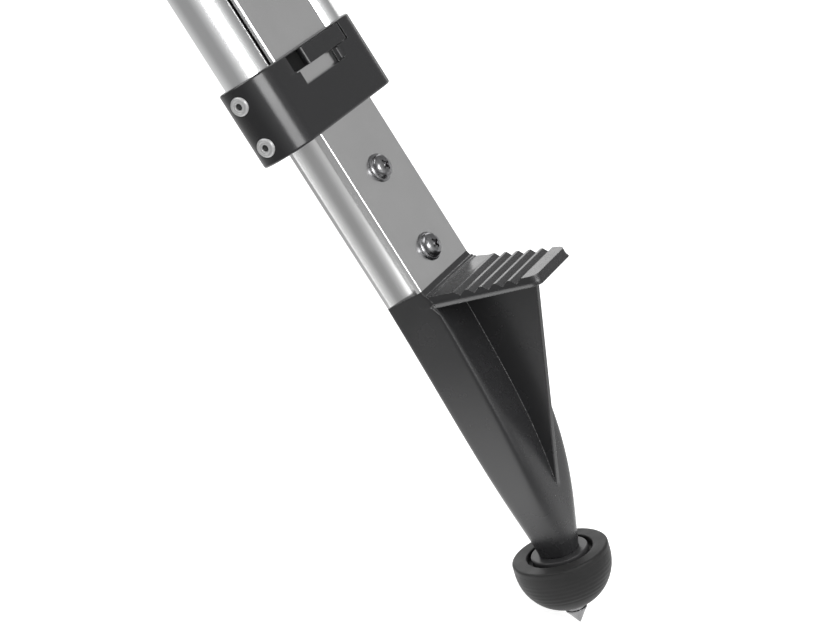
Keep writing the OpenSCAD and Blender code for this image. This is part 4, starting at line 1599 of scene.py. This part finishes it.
@dataclass(frozen=True)
class FixingGear:
    """The swinging arm under the head, its sliding bush, and the fixing screw."""

    pivot_r: float = 52.0
    azimuth: float = -30.0
    arm_ends: Point2 = (-14.3, -10.3)
    arm_edge: float = 0.6
    eye_r: float = 14.0
    eye_lap: float = 4.0
    end_r: float = 20.0
    pivot_bore: float = 4.05
    reach: float = 36.0
    travel: float = 14.0
    slot_r: float = 10.8
    bolt: Outline = (
        (0, -18.6), (6.6, -18.6), (8, -17.4), (8, -15), (7.6, -14.6), (4, -14.6), (4, -2.5), (0, -2.5),
    )  # fmt: skip
    bolt_socket: tuple[float, float, float] = (3.6, -19.6, -16.2)
    bush: Outline = (
        (7.5375, -17.2), (7.9375, -17.6), (14.9, -17.6), (15.5, -17), (15.5, -15), (15.1, -14.6),
        (10.5, -14.6), (10.5, -10.4), (10.2, -10.1), (7.5375, -10.1),
    )  # fmt: skip
    ring: Outline = (
        (7.5375, -9.8), (10.25, -9.8), (10.5, -9.55), (10.5, -8.05), (10.25, -7.8), (7.5375, -7.8),
    )  # fmt: skip
    ring_gap: tuple[Point3, Point3] = ((6, -1.8, -10.8), (12, 1.8, -6.8))
    screw_r: float = 7.9375
    core: Outline = (
        (0, -32.9), (7.4875, -32.9), (7.4875, -2), (6.5875, -1.9), (6.5875, 14.4), (6.0375, 15), (0, 15),
    )  # fmt: skip
    shoulder: float = -2.0
    screw_top: float = 15.0
    lead: float = 1.9
    thread_depth: float = 1.4
    pitch: float = 2.309
    knob_ends: Point2 = (-47.9, -17.9)
    knob_r: Point2 = (20.3, 23.0)
    knob_edge: float = 1.8
    knob_steps: int = 240
    knob_bore: tuple[float, float, float] = (7.5375, -33.4, -16.9)
    lobes: int = 8
    dish: Outline = ((0, -48.9), (14.5, -48.9), (14, -45.7), (12.5, -44.9), (0, -44.9))
    hub: Outline = ((0, -45.9), (5, -45.9), (5, -47.1), (4.4, -47.6), (0, -47.6))

    def arm_place(self) -> Matrix:
        """Returns the place of the arm's pivot, with x along the arm, in millimetres."""
        return turn(self.azimuth, "Z") @ shift(-self.pivot_r, 0, 0)

    def arm(self) -> Form:
        """Shapes the slotted arm.

        Returns:
            The arm.
        """
        (low, high), middle, r = self.arm_ends, self.pivot_r, self.end_r
        first, last = middle - self.travel - r + self.eye_lap, middle + self.reach - r
        side = math.degrees(math.asin(self.eye_r / r))
        outline = arc((0, 0), self.eye_r, 270, 90, 32) + arc((first, 0), r, 180 - side, 90, 10)
        outline += arc((last, 0), r, 90, -90, 32) + arc((first, 0), r, 270, 180 + side, 10)
        arm = Form.drawn(outline, low, high).rounded(self.arm_edge, rim(low, high), 2)
        slot = arc((middle + self.travel, 0), self.slot_r, -90, 90, 32)
        slot += arc((middle - self.travel, 0), self.slot_r, 90, 270, 32)
        low, high = low - PAST, high + PAST
        arm.worked(Solid.REMOVE, Form.drawn(slot, low, high), Form.rod(self.pivot_bore, low, high, 40))
        return arm.moved(self.arm_place())

    def screw(self) -> Form:
        """Cuts the fixing screw: a plain shank and a full-size thread with a lead above it.

        Returns:
            The screw.
        """
        r, top = self.screw_r, self.screw_top
        thread = Form.threaded(r, r - self.thread_depth, self.shoulder, top - 0.5, self.pitch)
        for point in thread.bm.verts:
            limit = r - max(0.0, point.co.z - (top - self.lead))
            away = math.hypot(point.co.x, point.co.y)
            if away > limit:
                point.co.x *= limit / away
                point.co.y *= limit / away
            point.co.z = min(point.co.z, top - 0.05)
        return Form.turned(self.core).joined(thread)

    def knob(self) -> Form:
        """Shapes the lobed knob with a ribbed rim and a dished lower face.

        Returns:
            The knob.
        """
        (low, high), (inner, outer) = self.knob_ends, self.knob_r
        outline = []
        for i in range(self.knob_steps):
            angle = math.tau * i / self.knob_steps
            reach = inner + (outer - inner) * (0.5 + 0.5 * math.cos(self.lobes * angle)) ** 1.4
            outline.append((reach * math.cos(angle), reach * math.sin(angle)))
        knob = Form.drawn(outline, low, high).rounded(self.knob_edge, rim(low, high), 4)
        knob.worked(Solid.REMOVE, Form.turned(self.dish), Form.rod(*self.knob_bore))
        return knob.joined(Form.turned(self.hub))

    def pieces(self) -> list[Piece]:
        """Lists the arm, its bolt, the bush, the open ring, the screw and the knob.

        Returns:
            The pieces.
        """
        bolt = Form.turned(self.bolt, steps=64)
        bolt.worked(Solid.REMOVE, Form.rod(*self.bolt_socket, 6)).moved(self.arm_place())
        ring = Form.turned(self.ring, ring=True).worked(Solid.REMOVE, Form.block(*self.ring_gap))
        return [
            Piece("slotted_arm", ARM_STEEL, self.arm(), "arm", "swing_arm"),
            Piece("arm_pivot_bolt", ZINC, bolt, "head", "arm_bolt"),
            Piece("flanged_bush", BUSH_METAL, Form.turned(self.bush, ring=True), "bush", "slide_bush"),
            Piece("open_ring", ZINC, ring, "screw", "retaining_ring"),
            Piece("threaded_screw", SCREW_BRASS, self.screw(), "screw", "fixing_screw"),
            Piece("lobed_knob", HOUSING_PLASTIC, self.knob(), "screw", "screw_knob"),
        ]


@dataclass(frozen=True)
class Studio:
    """The floor, the light and the camera."""

    floor_z: float = -0.9375
    floor_r: float = 60.0
    floor_grey: float = 0.85
    floor_lift: float = 0.74
    camera_at: Point3 = (0.42006739, -1.45111736, -0.1860538)
    camera_right: Point3 = (0.99710035, -0.07606682, -0.00217316)
    camera_down: Point3 = (-0.03633639, -0.45082543, -0.89187224)
    camera_ahead: Point3 = (0.06686217, 0.8893651, -0.45228219)
    focal_pixels: float = 2500.0
    image_width: float = 836.0
    sensor: float = 36.0
    clip: Point2 = (0.05, 200.0)
    ambient: float = 0.55
    gloss_dark: float = 0.345
    gloss_bright: float = 1.8
    halo: float = 1.0
    halo_power: float = 7.2
    backdrop_way: Point3 = (-0.05, 0.93, 0.36)
    backdrop_edge: Point2 = (0.87, 0.96)
    backdrop_far: Point2 = (2.6, 5.0)
    side_way: Point3 = (-0.68, 0.1, 0.7)
    side_edge: Point2 = (0.86, 0.97)
    side: float = 4.0
    # Painted pools of light and shade on the floor that gloss sees: centre, level, inner and outer radius.
    # The bright ones are painted pools of light; the one with a negative level is a painted contact shadow
    # under leg a's foot.
    pools: tuple[tuple[Point2, float, float, float], ...] = (
        ((0.56, 0.07), 0.6, 0.0, 1.1),
        ((0.47, -0.3), 1.5, 0.12, 0.3),
        ((0.59, -0.34), -1.2, 0.03, 0.1),
        ((2.6, 0.6), 0.8, 0.5, 1.7),
    )
    strip: float = 8.0
    strip_way: Point3 = (0.578, -0.687, 0.442)
    strip_half_width: Point2 = (0.27, 0.36)
    strip_low: Point2 = (0.02, 0.06)
    strip_high: Point2 = (0.3, 0.45)
    leg_way: Point3 = (-0.509, 0.294, 0.809)
    lamp_strength: float = 1.9
    lamp_spread: float = 50.0
    lamp_way: Point3 = (0.45, -0.5, 0.75)

    @staticmethod
    def hung(name: str, data: bpy.types.ID) -> bpy.types.Object:
        """Puts a new object in the scene.

        Args:
            name: The object's name.
            data: What it shows.

        Returns:
            The object.
        """
        thing = bpy.data.objects.new(name, data)
        bpy.context.scene.collection.objects.link(thing)
        return thing

    def camera(self) -> None:
        """Sets the camera at the photograph's view."""
        data = bpy.data.cameras.new("view")
        data.sensor_width = self.sensor
        data.lens = self.focal_pixels * data.sensor_width / self.image_width
        data.clip_start, data.clip_end = self.clip
        axes = (Vector(self.camera_right), -Vector(self.camera_down), -Vector(self.camera_ahead))
        thing = self.hung("view", data)
        thing.matrix_world = shift(*self.camera_at) @ Matrix(axes).transposed().to_4x4()
        bpy.context.scene.camera = thing

    def world(self) -> None:
        """Lights the scene from all round, gives gloss a strip light, and keeps the ground white."""
        world = bpy.data.worlds.new("studio")
        bpy.context.scene.world = world
        world.use_nodes = True
        wiring = Wiring(world.node_tree)
        ray = wiring.node("LightPath")
        way = wiring.node("TexCoord")["Generated"]
        out = Vector(self.strip_way).normalized()
        along = Vector(self.leg_way)
        along = (along - out * along.dot(out)).normalized()
        towards = wiring.vector("DOT_PRODUCT", way, out)
        halo = wiring.maths("MULTIPLY_ADD", towards, 0.5, 0.5, clamp=True)
        halo = wiring.maths("POWER", halo, self.halo_power)
        shade = wiring.maths("MULTIPLY_ADD", halo, self.halo, self.gloss_dark)
        panels = ((self.backdrop_way, self.backdrop_edge, self.gloss_bright),)
        for middle, edge, level in panels + ((self.side_way, self.side_edge, self.side),):
            near = wiring.vector("DOT_PRODUCT", way, Vector(middle).normalized())
            shade = wiring.maths("ADD", shade, wiring.fade(near, edge, (0.0, level)))
        aside = wiring.maths("ABSOLUTE", wiring.vector("DOT_PRODUCT", way, along.cross(out)))
        raised = wiring.vector("DOT_PRODUCT", way, along)
        strip = self.strip
        for limit in (
            wiring.fade(aside, self.strip_half_width, (1.0, 0.0)),
            wiring.fade(raised, self.strip_low, (0.0, 1.0)),
            wiring.fade(raised, self.strip_high, (1.0, 0.0)),
            wiring.maths("GREATER_THAN", towards, 0.0),
        ):
            strip = wiring.maths("MULTIPLY", limit, strip)
        shade = wiring.maths("ADD", shade, strip)
        shade = wiring.chosen(ray["Is Glossy Ray"], self.ambient, shade)
        seen = wiring.chosen(ray["Is Camera Ray"], shade, 1.0)
        wiring.feed(wiring.nodes["Background"], {"Color": (1, 1, 1, 1), "Strength": seen})

    def floor_shade(self, wiring: Wiring) -> bpy.types.NodeSocket:
        """Makes the floor that gloss sees: pools of light and shade, and white far behind.

        Args:
            wiring: The floor's shader tree.

        Returns:
            The shade.
        """
        place = wiring.node("TexCoord")["Object"]
        shade = self.gloss_dark
        for spot, level, inner, outer in self.pools:
            away = wiring.vector("DISTANCE", place, (*spot, self.floor_z))
            shade = wiring.maths("ADD", wiring.fade(away, (inner, outer), (level, 0.0)), shade)
        ahead = wiring.vector("DOT_PRODUCT", place, (0.0, 1.0, 0.0))
        return wiring.maths("ADD", wiring.fade(ahead, self.backdrop_far, (0.0, self.gloss_bright)), shade)

    def floor(self) -> None:
        """Lays the pale floor."""
        form = Form()
        bmesh.ops.create_circle(form.bm, cap_ends=True, segments=96, radius=self.floor_r)
        mesh = form.at(0, 0, self.floor_z).mesh("floor")
        thing = self.hung("floor", mesh)
        material = bpy.data.materials.new("floor")
        material.use_nodes = True
        wiring = Wiring(material.node_tree)
        shader = wiring.nodes["Principled BSDF"]
        ray = wiring.node("LightPath")
        surface = {"Base Color": (*grey(self.floor_grey), 1), "Roughness": 1.0}
        surface |= {"Specular IOR Level": 0.0, "Emission Color": (1, 1, 1, 1)}
        lift = wiring.maths("MULTIPLY", ray["Is Camera Ray"], self.floor_lift)
        wiring.feed(shader, surface | {"Emission Strength": lift})
        mirrored = wiring.node("Emission", {"Strength": self.floor_shade(wiring)})["Emission"]
        mixed = {"Fac": ray["Is Glossy Ray"], 1: shader.outputs["BSDF"], 2: mirrored}
        choice = wiring.node("MixShader", mixed)["Shader"]
        wiring.feed(wiring.nodes["Material Output"], {"Surface": choice})
        mesh.materials.append(material)

    def lamp(self) -> None:
        """Hangs a broad soft lamp."""
        sun = bpy.data.lights.new("soft_lamp", "SUN")
        sun.energy = self.lamp_strength
        sun.angle = math.radians(self.lamp_spread)
        lamp = self.hung("soft_lamp", sun)
        lamp.rotation_mode = "QUATERNION"
        lamp.rotation_quaternion = Vector(self.lamp_way).to_track_quat("Z", "Y")
        lamp.visible_glossy = False

    def build(self) -> None:
        """Sets the whole studio."""
        for work in (self.camera, self.world, self.floor, self.lamp):
            work()


def main() -> None:
    """Builds the tripod's looks and the studio round it."""
    logging.basicConfig(level=logging.INFO, format="%(name)s: %(message)s")
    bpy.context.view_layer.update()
    Studio().build()
    bench, head = Workbench(), FlatHead()
    leg = [(part, part.pieces()) for part in (RailPair(), FlipClamp(), InnerLeg(), StepShoe(), BallFoot())]
    for suffix, azimuth in zip("abc", head.azimuths):
        for part, pieces in leg:
            bench.set_out(pieces, part.place(LegStance(azimuth)), f"_{suffix}")
    for part in (head, FixingGear()):
        bench.set_out(part.pieces(), Matrix.Identity(4))
    bpy.context.scene.view_settings.view_transform = "Standard"


if __name__ == "__main__":
    main()
